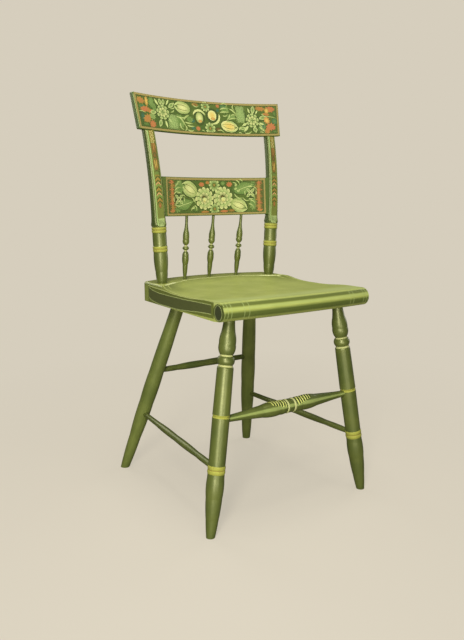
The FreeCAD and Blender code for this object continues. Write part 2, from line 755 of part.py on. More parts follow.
def make_legs():
    gap = 2 * size.glue_gap
    for row, stations_of in (("front", front_leg_stations), ("rear", rear_leg_stations)):
        for side_name, side in SIDES:
            foot, socket = leg_line(row, side)
            name = "%s_leg_%s" % (row, side_name)
            blank = turned(name + "_turned", stations_of(distance(foot, socket)))
            laid(blank, foot, socket)
            floor_wide = 4 * size.overrun
            floor = block(name + "_floor", floor_wide, floor_wide, floor_wide)
            moved(floor, (foot[0] - floor_wide / 2, foot[1] - floor_wide / 2, -floor_wide))
            tools = [floor]
            for bar, start, end, diameter in stretcher_lines():
                if (row, side) in (start[:2], end[:2]):
                    here, there = (start, end) if (row, side) == start[:2] else (end, start)
                    near = on_leg(*here)
                    far = on_leg(*there)
                    inside = beyond(near, far, -size.stretcher_past - size.socket_spare)
                    outside = beyond(near, far, 2 * size.overrun + size.front_leg_diameter / 2)
                    tools.append(drill("%s_for_%s" % (name, bar), inside, outside, diameter + gap))
            pieces.append(cut(name, blank, tools))


# Stretchers
def stretcher_lines():
    """Each stretcher's name, the two places it joins, and its end diameter."""
    lines = [("front_stretcher",
              ("front", -1, size.front_stretcher_height),
              ("front", 1, size.front_stretcher_height), size.front_stretcher_end),
             ("rear_stretcher",
              ("rear", -1, size.rear_stretcher_height),
              ("rear", 1, size.rear_stretcher_height), size.rear_stretcher_end)]
    for side_name, side in SIDES:
        lines.append(("side_stretcher_" + side_name,
                      ("front", side, size.side_stretcher_front),
                      ("rear", side, size.side_stretcher_rear), size.side_stretcher_end))
    return lines


def front_stretcher_stations(length):
    """Two long vases that meet at a drum between two beads."""
    middle = length / 2
    drum = middle - size.drum_length / 2
    bead = drum - size.quirk_length - size.drum_bead_length
    vase_start = bead - size.quirk_length
    leg_face = size.stretcher_past + size.front_leg_diameter / 2
    bead_edge = size.drum_bead_diameter * DRUM_BEAD_SHARE
    half = [(Size(0), size.front_stretcher_end, 0), (leg_face, size.front_stretcher_end, 0)]
    rising = stretch(vase_start, leg_face, size.front_stretcher_diameter, LONG_VASE_SHARES)
    for index in range(len(rising) - 1, -1, -1):
        swell = rising[index - 1][2] if index else 0
        half.append((rising[index][0], rising[index][1], swell))
    half += [(bead - size.quirk_length / 2, size.quirk_diameter, 0),
             (bead, size.quirk_diameter, 0),
             (bead + size.quirk_length / 2, bead_edge, DRUM_BEAD_SWELL),
             (drum - 3 * size.quirk_length / 2, bead_edge, 0),
             (drum - size.quirk_length, size.quirk_diameter, 0),
             (drum, size.quirk_diameter, 0),
             (drum + size.quirk_length / 2, size.front_stretcher_diameter * DRUM_EDGE_SHARE, DRUM_SWELL)]
    stations = list(half)
    for index in range(len(half) - 1, -1, -1):
        swell = half[index - 1][2] if index else 0
        stations.append((length - half[index][0], half[index][1], swell))
    return stations


def plain_stretcher_stations(length, end_diameter, diameter, shares):
    leg_face = size.stretcher_past + size.front_leg_diameter / 2
    stations = [(Size(0), end_diameter, 0), (leg_face, end_diameter, FOOT_SWELL)]
    stations += stretch(leg_face, length - leg_face, diameter, shares)
    stations += [(length - leg_face, end_diameter, 0), (length, end_diameter, 0)]
    return stations


def make_stretchers():
    for name, start, end, end_diameter in stretcher_lines():
        near = on_leg(*start)
        far = on_leg(*end)
        length = distance(near, far) + 2 * size.stretcher_past
        if name == "front_stretcher":
            stations = front_stretcher_stations(length)
        elif name == "rear_stretcher":
            stations = plain_stretcher_stations(
                length, end_diameter, size.rear_stretcher_diameter, REAR_STRETCHER_SHARES)
        else:
            stations = plain_stretcher_stations(
                length, end_diameter, size.side_stretcher_diameter, SIDE_STRETCHER_SHARES)
        body = turned(name, stations)
        pieces.append(laid(body, beyond(near, far, -size.stretcher_past), far))


# Back posts
def post_stations():
    """The turned lower post, along it from the deck, with its tenon below zero."""
    tenon = size.plank_thickness / cosine(size.post_splay)
    taper = (size.post_base_diameter - size.post_tenon_diameter) / tenon
    tenon_end = size.post_tenon_diameter + taper * size.post_tenon_short
    body = size.post_body_diameter
    past = size.post_bead_length + size.bead_rise
    stations = [(size.post_tenon_short - tenon, tenon_end, 0)]
    stations += stretch(Size(0), size.lower_ring_rise - past, body, POST_LOWER_SHARES)
    stations += post_ring(size.lower_ring_rise)
    stations += stretch(size.lower_ring_rise + past, size.upper_ring_rise - past, body, POST_RINGS_SHARES)
    stations += post_ring(size.upper_ring_rise)
    stations.append((size.upper_ring_rise + past, body, 0))
    return stations


def post_ring(middle):
    """Two beads side by side."""
    bead_root = size.post_ring_diameter - size.bead_rise
    return [(middle - size.post_bead_length, bead_root, POST_BEAD_SWELL),
            (middle, bead_root, POST_BEAD_SWELL),
            (middle + size.post_bead_length, bead_root, 0)]


def blade_root():
    """Where the flattened part starts, along the post."""
    return size.upper_ring_rise + size.post_bead_length


def blade_profile():
    """Side view of the flattened part: a slope, then the backward bend."""
    half = size.blade_depth / 2
    wide = size.post_body_diameter / 2
    low = blade_root() + size.blade_ramp
    high = crest_along + size.overrun
    low_sin, low_cos, low_back = bend_at(low)
    top_sin, top_cos, top_back = bend_at(high)
    ramp_radius = 2 * size.blade_ramp
    return [
        (-wide, blade_root(), None),
        (wide, blade_root(), (ramp_radius, -1)),
        (low_back + half * low_cos, low - half * low_sin, (size.bend_radius - half, -1)),
        (top_back + half * top_cos, high - half * top_sin, None),
        (top_back - half * top_cos, high + half * top_sin, (size.bend_radius + half, 1)),
        (low_back - half * low_cos, low + half * low_sin, (ramp_radius, -1)),
    ]


def blade_outline():
    """Front view of the flattened part, tapering to the crest."""
    low = blade_root()
    top = crest_along + 2 * size.overrun
    low_half = size.blade_root_width / 2
    top_half = size.blade_top_width / 2 - rail_taper * size.overrun / 2
    return [(-low_half, low, None), (low_half, low, None), (top_half, top, None), (-top_half, top, None)]


def blade_shape(side_name):
    """The flattened, tapering and bent upper part of a post, on the post's own axes."""
    name = "blade_" + side_name
    side_view = padded(name + "_side", "YZ_Plane", blade_profile(), 4 * size.blade_root_width)
    front_view = padded(name + "_front", "XZ_Plane", blade_outline(), 2 * size.bend_start)
    prism = shared(name + "_prism", [side_view, front_view])

    def long_edge(edge):
        return edge.BoundBox.ZLength > (crest_along.value - size.bend_start.value) / 2

    smooth = rounded(name + "_rounded", prism, [(long_edge, size.blade_edge_radius)])
    bell = turned(name + "_bell", [
        (blade_root() - size.bead_rise, size.post_body_diameter, 0.04),
        (blade_root() + 2 * size.blade_ramp, size.post_body_diameter * BELL_SHARE, 0),
        (crest_along + 3 * size.overrun, 2 * size.bend_start, 0)])
    return shared(name, [smooth, bell])


def set_on_deck(thing, side):
    """Place a shape made on a post's own axes, with its origin in the deck."""
    tilt = (side * size.post_splay).text + " * 1 deg"
    return moved(thing, (side * size.post_x, post_y, size.deck_height), (0, 1, 0), tilt)


def make_posts():
    for side_name, side in SIDES:
        name = "post_" + side_name
        lower = set_on_deck(turned(name + "_turned", post_stations()), side)
        blade = set_on_deck(blade_shape(side_name), side)
        shank = merged(name + "_shank", [lower, blade])
        shadow = bent_board(
            name + "_under_crest", size.crest_bow_radius, size.crest_upper_half,
            2 * size.blade_depth, -size.glue_gap, size.crest_height, crest_sin / crest_cos)
        hung(shadow, crest_origin, crest_lean, size.crest_bow_radius)
        trimmed = cut(name + "_trimmed", shank, [shadow])
        tenon_low = leaned(crest_origin, crest_lean, side * crest_post[0], -crest_bow, -size.overrun)
        tenon_high = leaned(crest_origin, crest_lean, side * crest_post[0], -crest_bow,
                            size.crest_tenon_length)
        tenon = drill(name + "_tenon", tenon_low, tenon_high, size.crest_tenon_diameter)
        whole = merged(name + "_whole", [trimmed, tenon])
        pieces.append(cut(name, whole, [
            rail_tenon(name + "_mortise", side, True),
            wedge_shape(name + "_kerf", side, True),
            crest_pin(name + "_crest_pin_hole", side, True),
            rail_pin(name + "_rail_pin_hole", side, True)]))


# Wedges in the posts' lower tenons
def wedge_shape(name, side, hole):
    """A wedge driven up into a post's tenon, or the kerf that it fills."""
    gap = size.glue_gap if hole else Size(0)
    low = -size.plank_thickness / cosine(size.post_splay)
    end = low + size.post_tenon_short + size.wedge_length
    start = low - size.overrun if hole else low + size.post_tenon_short
    tip = size.wedge_tip / 2 + gap
    slope = (size.wedge_thickness - size.wedge_tip) / (2 * size.wedge_length)
    thick = tip + slope * (end - start)
    wide = 2 * size.post_tenon_diameter if hole else size.post_tenon_diameter - 2 * size.wedge_tip
    body = padded(name, "YZ_Plane", [(-thick, start, None), (thick, start, None),
                                     (tip, end + gap, None), (-tip, end + gap, None)], wide)
    return set_on_deck(body, side)


# Crest rail, its pins and the mid rail
def crest_pin(name, side, hole):
    """A pin through the crest's back into a post's tenon, or its hole."""
    gap = size.glue_gap if hole else Size(0)
    stand = size.overrun if hole else size.pin_stand
    across = side * crest_post[0]
    reach = size.crest_thickness / 2
    start = leaned(crest_origin, crest_lean, across, size.pin_cover - reach - crest_bow - gap,
                   size.crest_pin_height)
    end = leaned(crest_origin, crest_lean, across, reach - crest_bow + stand, size.crest_pin_height)
    return drill(name, start, end, size.crest_pin_diameter + 2 * gap)


def rail_pin(name, side, hole):
    """A pin through a post's back into the mid rail's tenon, or its hole."""
    gap = size.glue_gap if hole else Size(0)
    stand = size.overrun if hole else size.pin_stand
    across = side * (rail_inner + size.rail_tenon_length / 2)
    reach = size.blade_depth / 2
    start = leaned(rail_middle, rail_lean, across, size.pin_cover - reach - rail_bow - gap, Size(0))
    end = leaned(rail_middle, rail_lean, across, reach - rail_bow + stand, Size(0))
    return drill(name, start, end, size.rail_pin_diameter + 2 * gap)


def crest_shape():
    plank = bent_board(
        "crest_plank", size.crest_bow_radius, size.crest_upper_half + size.overrun,
        size.crest_thickness / 2, Size(0), size.crest_height, crest_sin / crest_cos)
    spread = (size.crest_upper_half - size.crest_lower_half) / size.crest_height * size.overrun
    low_half = size.crest_lower_half - spread
    high_half = size.crest_upper_half + spread
    face = padded("crest_face", "XZ_Plane", [
        (-low_half, -size.overrun, None), (low_half, -size.overrun, None),
        (high_half, size.crest_height + size.overrun, None),
        (-high_half, size.crest_height + size.overrun, None)], 4 * size.crest_height)
    moved(face, (Size(0), size.crest_bow_radius, Size(0)))
    blank = shared("crest_blank", [plank, face])
    whole = rounded("crest_rounded", blank, [(lambda edge: True, size.crest_arris_radius)])
    return hung(whole, crest_origin, crest_lean, size.crest_bow_radius)


def make_crest():
    gap = 2 * size.glue_gap
    tools = []
    for side_name, side in SIDES:
        low = leaned(crest_origin, crest_lean, side * crest_post[0], -crest_bow, -size.overrun)
        high = leaned(crest_origin, crest_lean, side * crest_post[0], -crest_bow,
                      size.crest_tenon_length + size.socket_spare)
        tools.append(drill("crest_socket_" + side_name, low, high, size.crest_tenon_diameter + gap))
        tools.append(crest_pin("crest_pin_hole_" + side_name, side, True))
    pieces.append(cut("crest_rail", crest_shape(), tools))
    for side_name, side in SIDES:
        pieces.append(crest_pin("crest_pin_" + side_name, side, False))
        pieces.append(rail_pin("rail_pin_" + side_name, side, False))
        pieces.append(wedge_shape("post_wedge_" + side_name, side, False))


def rail_tenon(name, side, hole):
    """The mid rail's tenon at one end, or the mortise that it fills."""
    gap = size.glue_gap if hole else Size(0)
    near = rail_inner - (size.overrun if hole else size.rail_thickness / 2)
    far = rail_inner + size.rail_tenon_length + (size.socket_spare if hole else Size(0))
    thick = size.rail_tenon_thickness + 2 * gap
    high = size.rail_tenon_height + 2 * gap
    tenon = block(name, far - near, thick, high)
    corner = near if side > 0 else -far
    spot = leaned(rail_middle, rail_lean, corner, -rail_bow - thick / 2, -high / 2)
    return moved(tenon, spot, (1, 0, 0), lean_angle(rail_sin))


def make_mid_rail():
    gap = 2 * size.glue_gap
    half = rail_post[0]
    board = bent_board("rail_plank", size.rail_bow_radius, half, size.rail_thickness / 2,
                       Size(0), size.rail_height, Size(0))
    hung(board, rail_origin, rail_lean, size.rail_bow_radius)
    shoulders = []
    for side_name, side in SIDES:
        face = padded("rail_shoulder_" + side_name, "XZ_Plane", shoulder_outline(),
                      4 * size.rail_height)
        shoulders.append(set_on_deck(face, side))
    between = cut("rail_between", board, shoulders)
    tenons = [rail_tenon("rail_tenon_" + side_name, side, False) for side_name, side in SIDES]
    whole = merged("rail_whole", [between] + tenons)
    tools = []
    for place, foot, top in spindle_lines():
        low = beyond(top, foot, size.overrun)
        high = beyond(top, foot, -size.spindle_top_tenon - size.socket_spare)
        tools.append(drill("rail_socket_" + place, low, high, size.spindle_top_diameter + gap))
    for side_name, side in SIDES:
        tools.append(rail_pin("rail_tenon_hole_" + side_name, side, True))
    pieces.append(cut("mid_rail", whole, tools))


def shoulder_outline():
    """The post's flattened part seen from the front, wider by the glue gap."""
    left_low, right_low, right_top, left_top = blade_outline()
    low_half = right_low[0] + size.glue_gap
    top_half = right_top[0] + size.glue_gap
    return [(-low_half, right_low[1], None), (low_half, right_low[1], None),
            (top_half, right_top[1], None), (-top_half, right_top[1], None)]


# Build
make_legs()
make_stretchers()
make_posts()
make_crest()
make_mid_rail()
make_spindles()
pieces.append(cut("seat_plank", seat_edges(seat_shape()), seat_sockets()))
doc.recompute()

# Check every object, then write the pieces
for item in doc.Objects:
    if "Invalid" in item.State or "Error" in item.State:
        raise RuntimeError("failed: %s %s" % (item.Name, item.State))
for piece in pieces:
    shape = piece.Shape
    if shape.isNull() or not shape.isValid() or len(shape.Solids) != 1:
        raise RuntimeError("bad shape: %s, %d solids" % (piece.Label, len(shape.Solids)))

os.makedirs("parts", exist_ok=True)
for piece in pieces:
    piece.Shape.exportStep(os.path.join("parts", piece.Label + ".step"))
    print("%-22s %8.1f cm3" % (piece.Label, piece.Shape.Volume / 1000))
print(len(pieces), "pieces")
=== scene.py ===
# %% [markdown]
# A stencilled, painted side chair
#
# The real chair is a country chair of turned sticks round one thick plank. It was painted
# a leafy green, striped in yellow, and its two back boards were decorated with stencils
# of fruit and flowers. The joiner's shapes come from the CAD frame and stay where they
# are. This lesson adds what the painter added: enamel, rings, striping and stencils.

# %% Frame
from math import ceil, cos, dist, hypot, pi, radians, sin, sqrt, tan

import bpy
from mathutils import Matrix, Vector
from mathutils.bvhtree import BVHTree


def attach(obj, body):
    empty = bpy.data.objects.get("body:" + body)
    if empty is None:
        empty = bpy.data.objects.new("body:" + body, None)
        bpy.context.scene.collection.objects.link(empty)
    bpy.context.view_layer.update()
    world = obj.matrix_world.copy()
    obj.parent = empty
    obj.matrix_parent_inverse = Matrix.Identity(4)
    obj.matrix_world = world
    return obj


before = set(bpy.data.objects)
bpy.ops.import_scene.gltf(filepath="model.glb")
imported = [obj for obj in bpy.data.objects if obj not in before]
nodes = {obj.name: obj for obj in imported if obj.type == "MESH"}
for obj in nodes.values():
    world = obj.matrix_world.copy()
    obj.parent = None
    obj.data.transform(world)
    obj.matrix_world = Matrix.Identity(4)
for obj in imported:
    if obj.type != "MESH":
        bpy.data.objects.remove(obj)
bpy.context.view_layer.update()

MM = 0.001
SIDES = (("left", -1), ("right", 1))

# %% [markdown]
# The camera and the light come first, because every colour is judged through them. The
# camera stands to the left of the chair and looks slightly down, a little nearer than a
# usual portrait of furniture, so the front legs look longer than the rear ones.

# %% Camera
YAW = radians(34.454)
PITCH = radians(10.566)
LENS = 39.216
SENSOR = 36
EYE = (-0.85309, -1.22253, 0.64564)


def show(name, data):
    """Puts a new object into the scene."""
    made = bpy.data.objects.new(name, data)
    bpy.context.scene.collection.objects.link(made)
    return made


camera = show("chair_camera", bpy.data.cameras.new("chair_camera"))
camera.data.lens = LENS
camera.data.sensor_width = SENSOR
camera.location = EYE
camera.rotation_euler = (pi / 2 - PITCH, 0, -YAW)
bpy.context.scene.camera = camera
bpy.context.scene.view_settings.view_transform = "Standard"
print("camera:", [round(v, 3) for v in camera.location])

# %% [markdown]
# Colours are written as a painter would read them off a chart, from 0 to 255, and turned
# into the linear values that a shader takes.


# %% Colour chart
def chart(red, green, blue):
    """A linear colour from chart values."""
    def linear(value):
        share = value / 255
        return share / 12.92 if share <= 0.04045 else ((share + 0.055) / 1.055) ** 2.4

    return (linear(red), linear(green), linear(blue), 1.0)


def darker(colour, share):
    return tuple(share * v for v in colour[:3]) + (1.0,)


LEAF_GREEN = chart(93, 101, 46)
DEEP_GREEN = chart(68, 80, 34)
SHADE_GREEN = chart(84, 94, 40)
# Painted highlight colour for the top of the roll and the seat just behind it.
PAINTED_HIGHLIGHT_GREEN = chart(180, 192, 126)
STRIPE_YELLOW = chart(146, 147, 56)
PALE_YELLOW = chart(172, 175, 116)
OCHRE = chart(132, 118, 46)
print("leaf green:", [round(v, 3) for v in LEAF_GREEN])

# %% [markdown]
# A finish is a small tree of nodes, and so is a pattern that repeats. One helper adds a
# node and feeds its inputs, and a recipe is that helper on a material. The oak of the post
# wedges is its first use: raw wood whose grain is a noise stretched along the wedge.


# %% Node helper
class Tree:
    """A node tree whose nodes are written one on a line."""

    def __init__(self, tree):
        self.tree = tree

    def feed(self, socket, value):
        if isinstance(value, bpy.types.NodeSocket):
            self.tree.links.new(value, socket)
        else:
            socket.default_value = value

    def node(self, kind, *inputs, result=0, settings=(), **named):
        """Adds a node, feeds its inputs by place or by name, and gives one of its outputs."""
        made = self.tree.nodes.new(kind)
        for name, value in settings:
            setattr(made, name, value)
        for key, value in (*enumerate(inputs), *named.items()):
            self.feed(made.inputs[key], value)
        return made.outputs[result] if made.outputs else None

    def sum(self, operation, *values):
        """A Math node."""
        return self.node("ShaderNodeMath", *values, settings=[("operation", operation)])

    def vector(self, operation, *values, result=0, **named):
        """A Vector Math node."""
        return self.node("ShaderNodeVectorMath", *values, result=result,
                         settings=[("operation", operation)], **named)

    def mix(self, share, first, second):
        """Two colours mixed by a share."""
        made = self.node("ShaderNodeMix", share, settings=[("data_type", "RGBA")]).node
        self.feed(made.inputs[6], first)
        self.feed(made.inputs[7], second)
        return made.outputs[2]

    def spread(self, value, low, high, start=0.0, end=1.0):
        """A value's range from low to high, laid out from start to end."""
        return self.node("ShaderNodeMapRange", value, low, high, start, end)

    def apart(self, vector):
        """A vector's x, y and z."""
        return self.node("ShaderNodeSeparateXYZ", vector).node.outputs


class Recipe(Tree):
    """A material on the Principled shader."""

    def __init__(self, name):
        self.material = bpy.data.materials.new(name)
        self.material.use_nodes = True
        super().__init__(self.material.node_tree)
        self.shader = self.tree.nodes["Principled BSDF"]

    def here(self):
        """The point being shaded, in the chair's own frame."""
        return self.node("ShaderNodeTexCoord", result=3)

    def noise(self, where, scale, detail=2.0, roughness=0.5):
        return self.node("ShaderNodeTexNoise", Vector=where, Scale=scale, Detail=detail,
                         Roughness=roughness)

    def coat(self, colour, rough, shine=0.5):
        self.feed(self.shader.inputs["Base Color"], colour)
        self.feed(self.shader.inputs["Roughness"], rough)
        self.shader.inputs["Specular IOR Level"].default_value = shine

    def bump(self, height, strength, reach):
        self.feed(self.shader.inputs["Normal"],
                  self.node("ShaderNodeBump", Strength=strength, Distance=reach, Height=height))


OAK = chart(150, 118, 72)
OAK_DARK = chart(104, 74, 40)
wedge_wood = Recipe("wedge_wood")
grain = wedge_wood.noise(wedge_wood.vector("MULTIPLY", wedge_wood.here(), (1, 1, 0.12)), 900, 4.0)
wedge_wood.coat(wedge_wood.mix(grain, OAK, OAK_DARK), 0.7)
wedge_wood.bump(grain, 0.3, 0.2 * MM)
print("wedge wood:", len(wedge_wood.tree.nodes), "nodes")

# %% [markdown]
# The studio is a plain pale floor that runs out into a backdrop of the same colour. It
# keeps a little of the real light, so the chair throws a soft shadow near its feet. A
# wide floor was chosen over a curved backdrop, because it looks the same from every side.

# %% Floor and backdrop
PAPER = chart(214, 206, 189)
FLOOR_LIT = chart(96, 90, 80)
FLOOR_HALF = 12.0
SKY = (1.0, 0.98, 0.94, 1.0)
SKY_STRENGTH = 0.1


def studio_floor():
    mesh = bpy.data.meshes.new("studio_floor")
    corners = [(FLOOR_HALF * x, FLOOR_HALF * y, 0) for x, y in ((-1, -1), (1, -1), (1, 1), (-1, 1))]
    mesh.from_pydata(corners, [], [(0, 1, 2, 3)])
    recipe = Recipe("studio_paper")
    seen = recipe.node("ShaderNodeLightPath", result="Is Camera Ray")
    recipe.coat(recipe.mix(seen, FLOOR_LIT, PAPER), 0.9, 0.1)
    paper = recipe.node("ShaderNodeEmission", Color=PAPER, Strength=1.0)
    away = recipe.vector("LENGTH", recipe.here(), result=1)
    share = recipe.sum("MULTIPLY", seen, recipe.spread(away, 0.35, 1.3, 0.72, 1.0))
    blend = recipe.node("ShaderNodeMixShader", share, recipe.shader.outputs[0], paper)
    recipe.feed(recipe.tree.nodes["Material Output"].inputs[0], blend)
    mesh.materials.append(recipe.material)
    show("studio_floor", mesh)


def studio_world():
    world = bpy.data.worlds.new("studio_world")
    world.use_nodes = True
    bpy.context.scene.world = world
    sky = Tree(world.node_tree)
    sky.tree.nodes.clear()
    lit = sky.node("ShaderNodeBackground", SKY, SKY_STRENGTH)
    seen = sky.node("ShaderNodeBackground", PAPER, 1.0)
    camera_ray = sky.node("ShaderNodeLightPath", result="Is Camera Ray")
    sky.node("ShaderNodeOutputWorld", sky.node("ShaderNodeMixShader", camera_ray, lit, seen))


studio_floor()
studio_world()
print("floor:", 2 * FLOOR_HALF, "m across")

# %% [markdown]
# A large soft lamp stands high on the left and draws the light down each turned stick. A
# lower one beside it gives the varnish its gleam, one above lights the seat, and one near
# the floor lifts the feet. Two wide weak lamps keep the back and the right side readable.

# %% Lamps
WARM = (1.0, 0.98, 0.9)
PLAIN = (1.0, 0.98, 0.95)
LAMPS = (("key_lamp", (-1.4, -1.5, 1.45), (0, 0, 0.4), (0.4, 0.9), 40, (1.0, 0.97, 0.88)),
         ("gleam_lamp", (-1.25, -1.45, 0.32), (0, 0, 0.40), (0.55, 0.6), 18, WARM),
         ("top_lamp", (-0.1, -0.4, 2.5), (0, 0, 0.45), (0.9, 0.9), 26, (1.0, 0.98, 0.92)),
         ("low_lamp", (-0.35, -1.8, 0.12), (0.1, 0, 0.1), (0.35, 0.18), 5, WARM),
         ("back_lamp", (-0.3, 2.0, 1.3), (0, 0, 0.45), (1.2, 1.2), 13, PLAIN),
         ("right_lamp", (2.0, 0.2, 0.9), (0, 0, 0.4), (1.2, 1.2), 11, PLAIN))

for name, place, aim, (width, height), power, colour in LAMPS:
    lamp = show(name, bpy.data.lights.new(name, "AREA"))
    lamp.data.shape = "RECTANGLE"
    lamp.data.size = width
    lamp.data.size_y = height
    lamp.data.energy = power
    lamp.data.color = colour
    lamp.location = place
    lamp.rotation_euler = (Vector(aim) - Vector(place)).to_track_quat("-Z", "Y").to_euler()
print("lamps:", len(LAMPS), "with", sum(row[4] for row in LAMPS), "W")

# %% [markdown]
# The enamel was brushed along each stick, so it has fine streaks that follow the axis,
# broad patches where the green was thinner, and a gloss of old varnish. One recipe serves
# every stick: the distance along the axis draws out the streaks and places the yellow
# rings, which keeps a ring on its turned bead from any side.


# %% Enamel
def enamel(name, start, end, bands=(), green=LEAF_GREEN, deep=DEEP_GREEN, glaze=None, shine=1.0):
    """Green enamel on a piece whose axis runs from start to end.

    Bands are (from, to, colour), with distances from start in metres. Painted light, where
    given, lays painted highlight and shade (on the seat also the deck's tone) on the green
    before they are painted.
    """
    recipe = Recipe(name)
    start = Vector(start)
    axis = tuple((Vector(end) - start).normalized())
    offset = recipe.vector("SUBTRACT", recipe.here(), tuple(start))
    along = recipe.vector("DOT_PRODUCT", offset, axis, result=1)
    back = recipe.vector("SCALE", axis, Scale=recipe.sum("MULTIPLY", along, -0.94))
    strokes = recipe.noise(recipe.vector("ADD", offset, back), 520, 3.0, 0.6)
    patches = recipe.noise(offset, 17, 3.0, 0.55)
    colour = recipe.mix(recipe.spread(patches, 0.35, 0.68), green, deep)
    colour = recipe.mix(recipe.spread(strokes, 0.3, 0.75, 0.0, 0.35), colour, darker(deep, 0.55))
    # Painted highlight and shade, where the piece has them.
    if glaze:
        colour = glaze(recipe, colour)
    wobble = recipe.sum("MULTIPLY_ADD", recipe.noise(offset, 90), 0.7 * MM, -0.35 * MM)
    edge = recipe.sum("ADD", along, wobble)
    gloss = recipe.spread(patches, 0.3, 0.75, 0.36, 0.46)
    for low, high, tint in bands:
        near = recipe.sum("COMPARE", edge, (low + high) / 2, (high - low) / 2)
        worn = recipe.mix(recipe.spread(strokes, 0.45, 0.8, 0.0, 0.4), tint, darker(tint, 0.6))
        colour = recipe.mix(near, colour, worn)
        gloss = recipe.sum("MAXIMUM", gloss, recipe.sum("MULTIPLY", near, 0.75))
    recipe.coat(colour, gloss, shine)
    recipe.shader.inputs["Specular Tint"].default_value = (1.0, 1.0, 0.55, 1.0)
    recipe.bump(strokes, 0.2, 0.2 * MM)
    return recipe.material


def dress(node, material):
    """Gives a CAD node its finish."""
    piece = nodes[node]
    piece.data.materials.clear()
    piece.data.materials.append(material)


def enamelled(node, start, end, bands=(), slot="frame_paint", **finish):
    dress(node, enamel(node + "_enamel", start, end, bands, **finish))


for side_name, side in SIDES:
    for pin in ("crest_pin_", "rail_pin_"):
        enamelled(pin + side_name, (0, 0, 0), (0, 1, 0), slot="pin_paint")
    dress("post_wedge_" + side_name, wedge_wood.material)
print("pins and wedges: 6 pieces")

# %% [markdown]
# The front legs carry most of the yellow: a wide double ring low down, a groove filled
# with colour and pale necks round the ball. Each place is worked out from the few sizes
# that the turner used, along the splayed axis of the leg. The rear legs and the plain
# bars have no rings, and the rear legs get a lighter copy of the green: painted light,
# as if more light fell on them.

# %% Legs and plain bars
UNDERSIDE = 0.4105
RING_HEIGHT = 0.129
GROOVE_HEIGHT = 0.229
VASE_LENGTH = 0.0675
BALL_LENGTH = 0.0162
NECK = 3 * MM
RING_HALF = 8 * MM
GAP_HALF = 0.7 * MM
# Painted light: a lighter copy of the leg green for the rear legs.
REAR_GREEN_WITH_PAINTED_LIGHT = chart(113, 123, 60)
REAR_DEEP_WITH_PAINTED_LIGHT = chart(90, 102, 46)

for side_name, side in SIDES:
    foot = Vector((side * 0.196, -0.193, 0))
    socket = Vector((side * 0.135, -0.168, UNDERSIDE))
    length = (socket - foot).length
    slope = length / UNDERSIDE
    ring = RING_HEIGHT * slope
    groove = GROOVE_HEIGHT * slope
    ball_top = length - VASE_LENGTH - NECK
    shaft_top = ball_top - BALL_LENGTH - NECK
    bands = [(ring - RING_HALF, ring + RING_HALF, STRIPE_YELLOW),
             (ring - GAP_HALF, ring + GAP_HALF, OCHRE),
             (groove - 2.8 * MM, groove + 3.2 * MM, STRIPE_YELLOW),
             (shaft_top - 0.6 * MM, shaft_top + NECK, PALE_YELLOW),
             (ball_top - 0.2 * MM, ball_top + NECK + 0.2 * MM, PALE_YELLOW)]
    enamelled("front_leg_" + side_name, foot, socket, bands)
    enamelled("rear_leg_" + side_name, (side * 0.177, 0.212, 0), (side * 0.094, 0.083, UNDERSIDE),
              green=REAR_GREEN_WITH_PAINTED_LIGHT, deep=REAR_DEEP_WITH_PAINTED_LIGHT)
    enamelled("side_stretcher_" + side_name, (side * 0.177, -0.185, 0.129), (side * 0.149, 0.168, 0.140))
enamelled("rear_stretcher", (-0.13, 0.135, 0.244), (0.13, 0.135, 0.244))
print("front leg:", round(length, 4), "m long, ring at", round(ring, 4))

# %% [markdown]
# A painted highlight runs along the front of the stretcher and a painted shade below it,
# to make it look rounder. In a shader each is a soft band by angle: how far a point lies
# round the bar, counted upwards from its front. A pale bead lies on each side of the drum.

# %% Front stretcher
STRETCHER_Y = -0.1795
STRETCHER_Z = 0.221
BEAD = (6.6 * MM, 10.8 * MM)
# Painted highlight colour for the front stretcher.
BAR_PAINTED_HIGHLIGHT = chart(150, 164, 94)


def painted_light_round(recipe, colour, middle_y, middle_z, bands, share=1.0):
    """Painted highlight and shade bands round a bar that runs across: (middle, reach, strength, colour).

    The angles are in radians round the bar, from straight forward, upwards.
    """
    x, y, z = recipe.apart(recipe.here())
    turn = recipe.sum("ARCTAN2", recipe.sum("SUBTRACT", z, middle_z), recipe.sum("SUBTRACT", middle_y, y))
    for middle, reach, strength, tint in bands:
        off = recipe.sum("ABSOLUTE", recipe.sum("SUBTRACT", turn, middle))
        near = recipe.spread(off, 0.4 * reach, reach, strength, 0.0)
        colour = recipe.mix(recipe.sum("MULTIPLY", near, share), colour, tint)
    return colour


def stretcher_glaze(recipe, colour):
    # Painted highlight along the front of the bar, painted shade below it.
    return painted_light_round(recipe, colour, STRETCHER_Y, STRETCHER_Z,
                        ((0.28, 0.34, 0.75, BAR_PAINTED_HIGHLIGHT), (-0.6, 0.5, 0.5, SHADE_GREEN)))


enamelled("front_stretcher", (0, STRETCHER_Y, STRETCHER_Z), (0.1, STRETCHER_Y, STRETCHER_Z),
          [(-BEAD[1], -BEAD[0], PALE_YELLOW), (*BEAD, PALE_YELLOW)], glaze=stretcher_glaze)
print("front stretcher: beads", [round(v / MM, 1) for v in BEAD], "mm from the middle")

# %% [markdown]
# Each post has two double rings on its turned lower part. Above them it is flattened into
# a blade, whose left side carries a painted shade, a tone darker. The spindles have two
# thin pale lines beside the middle ring, at shares of their length.

# %% Posts and spindles
SPLAY = radians(2.7)
DECK = 0.451
POST_X = 0.142
POST_Y = 0.076
POST_RINGS = (73 * MM, 113 * MM)
BLADE_SHADE = chart(58, 74, 30)
SPINDLE_LINE_SHARES = ((0.453, 0.473), (0.526, 0.549))


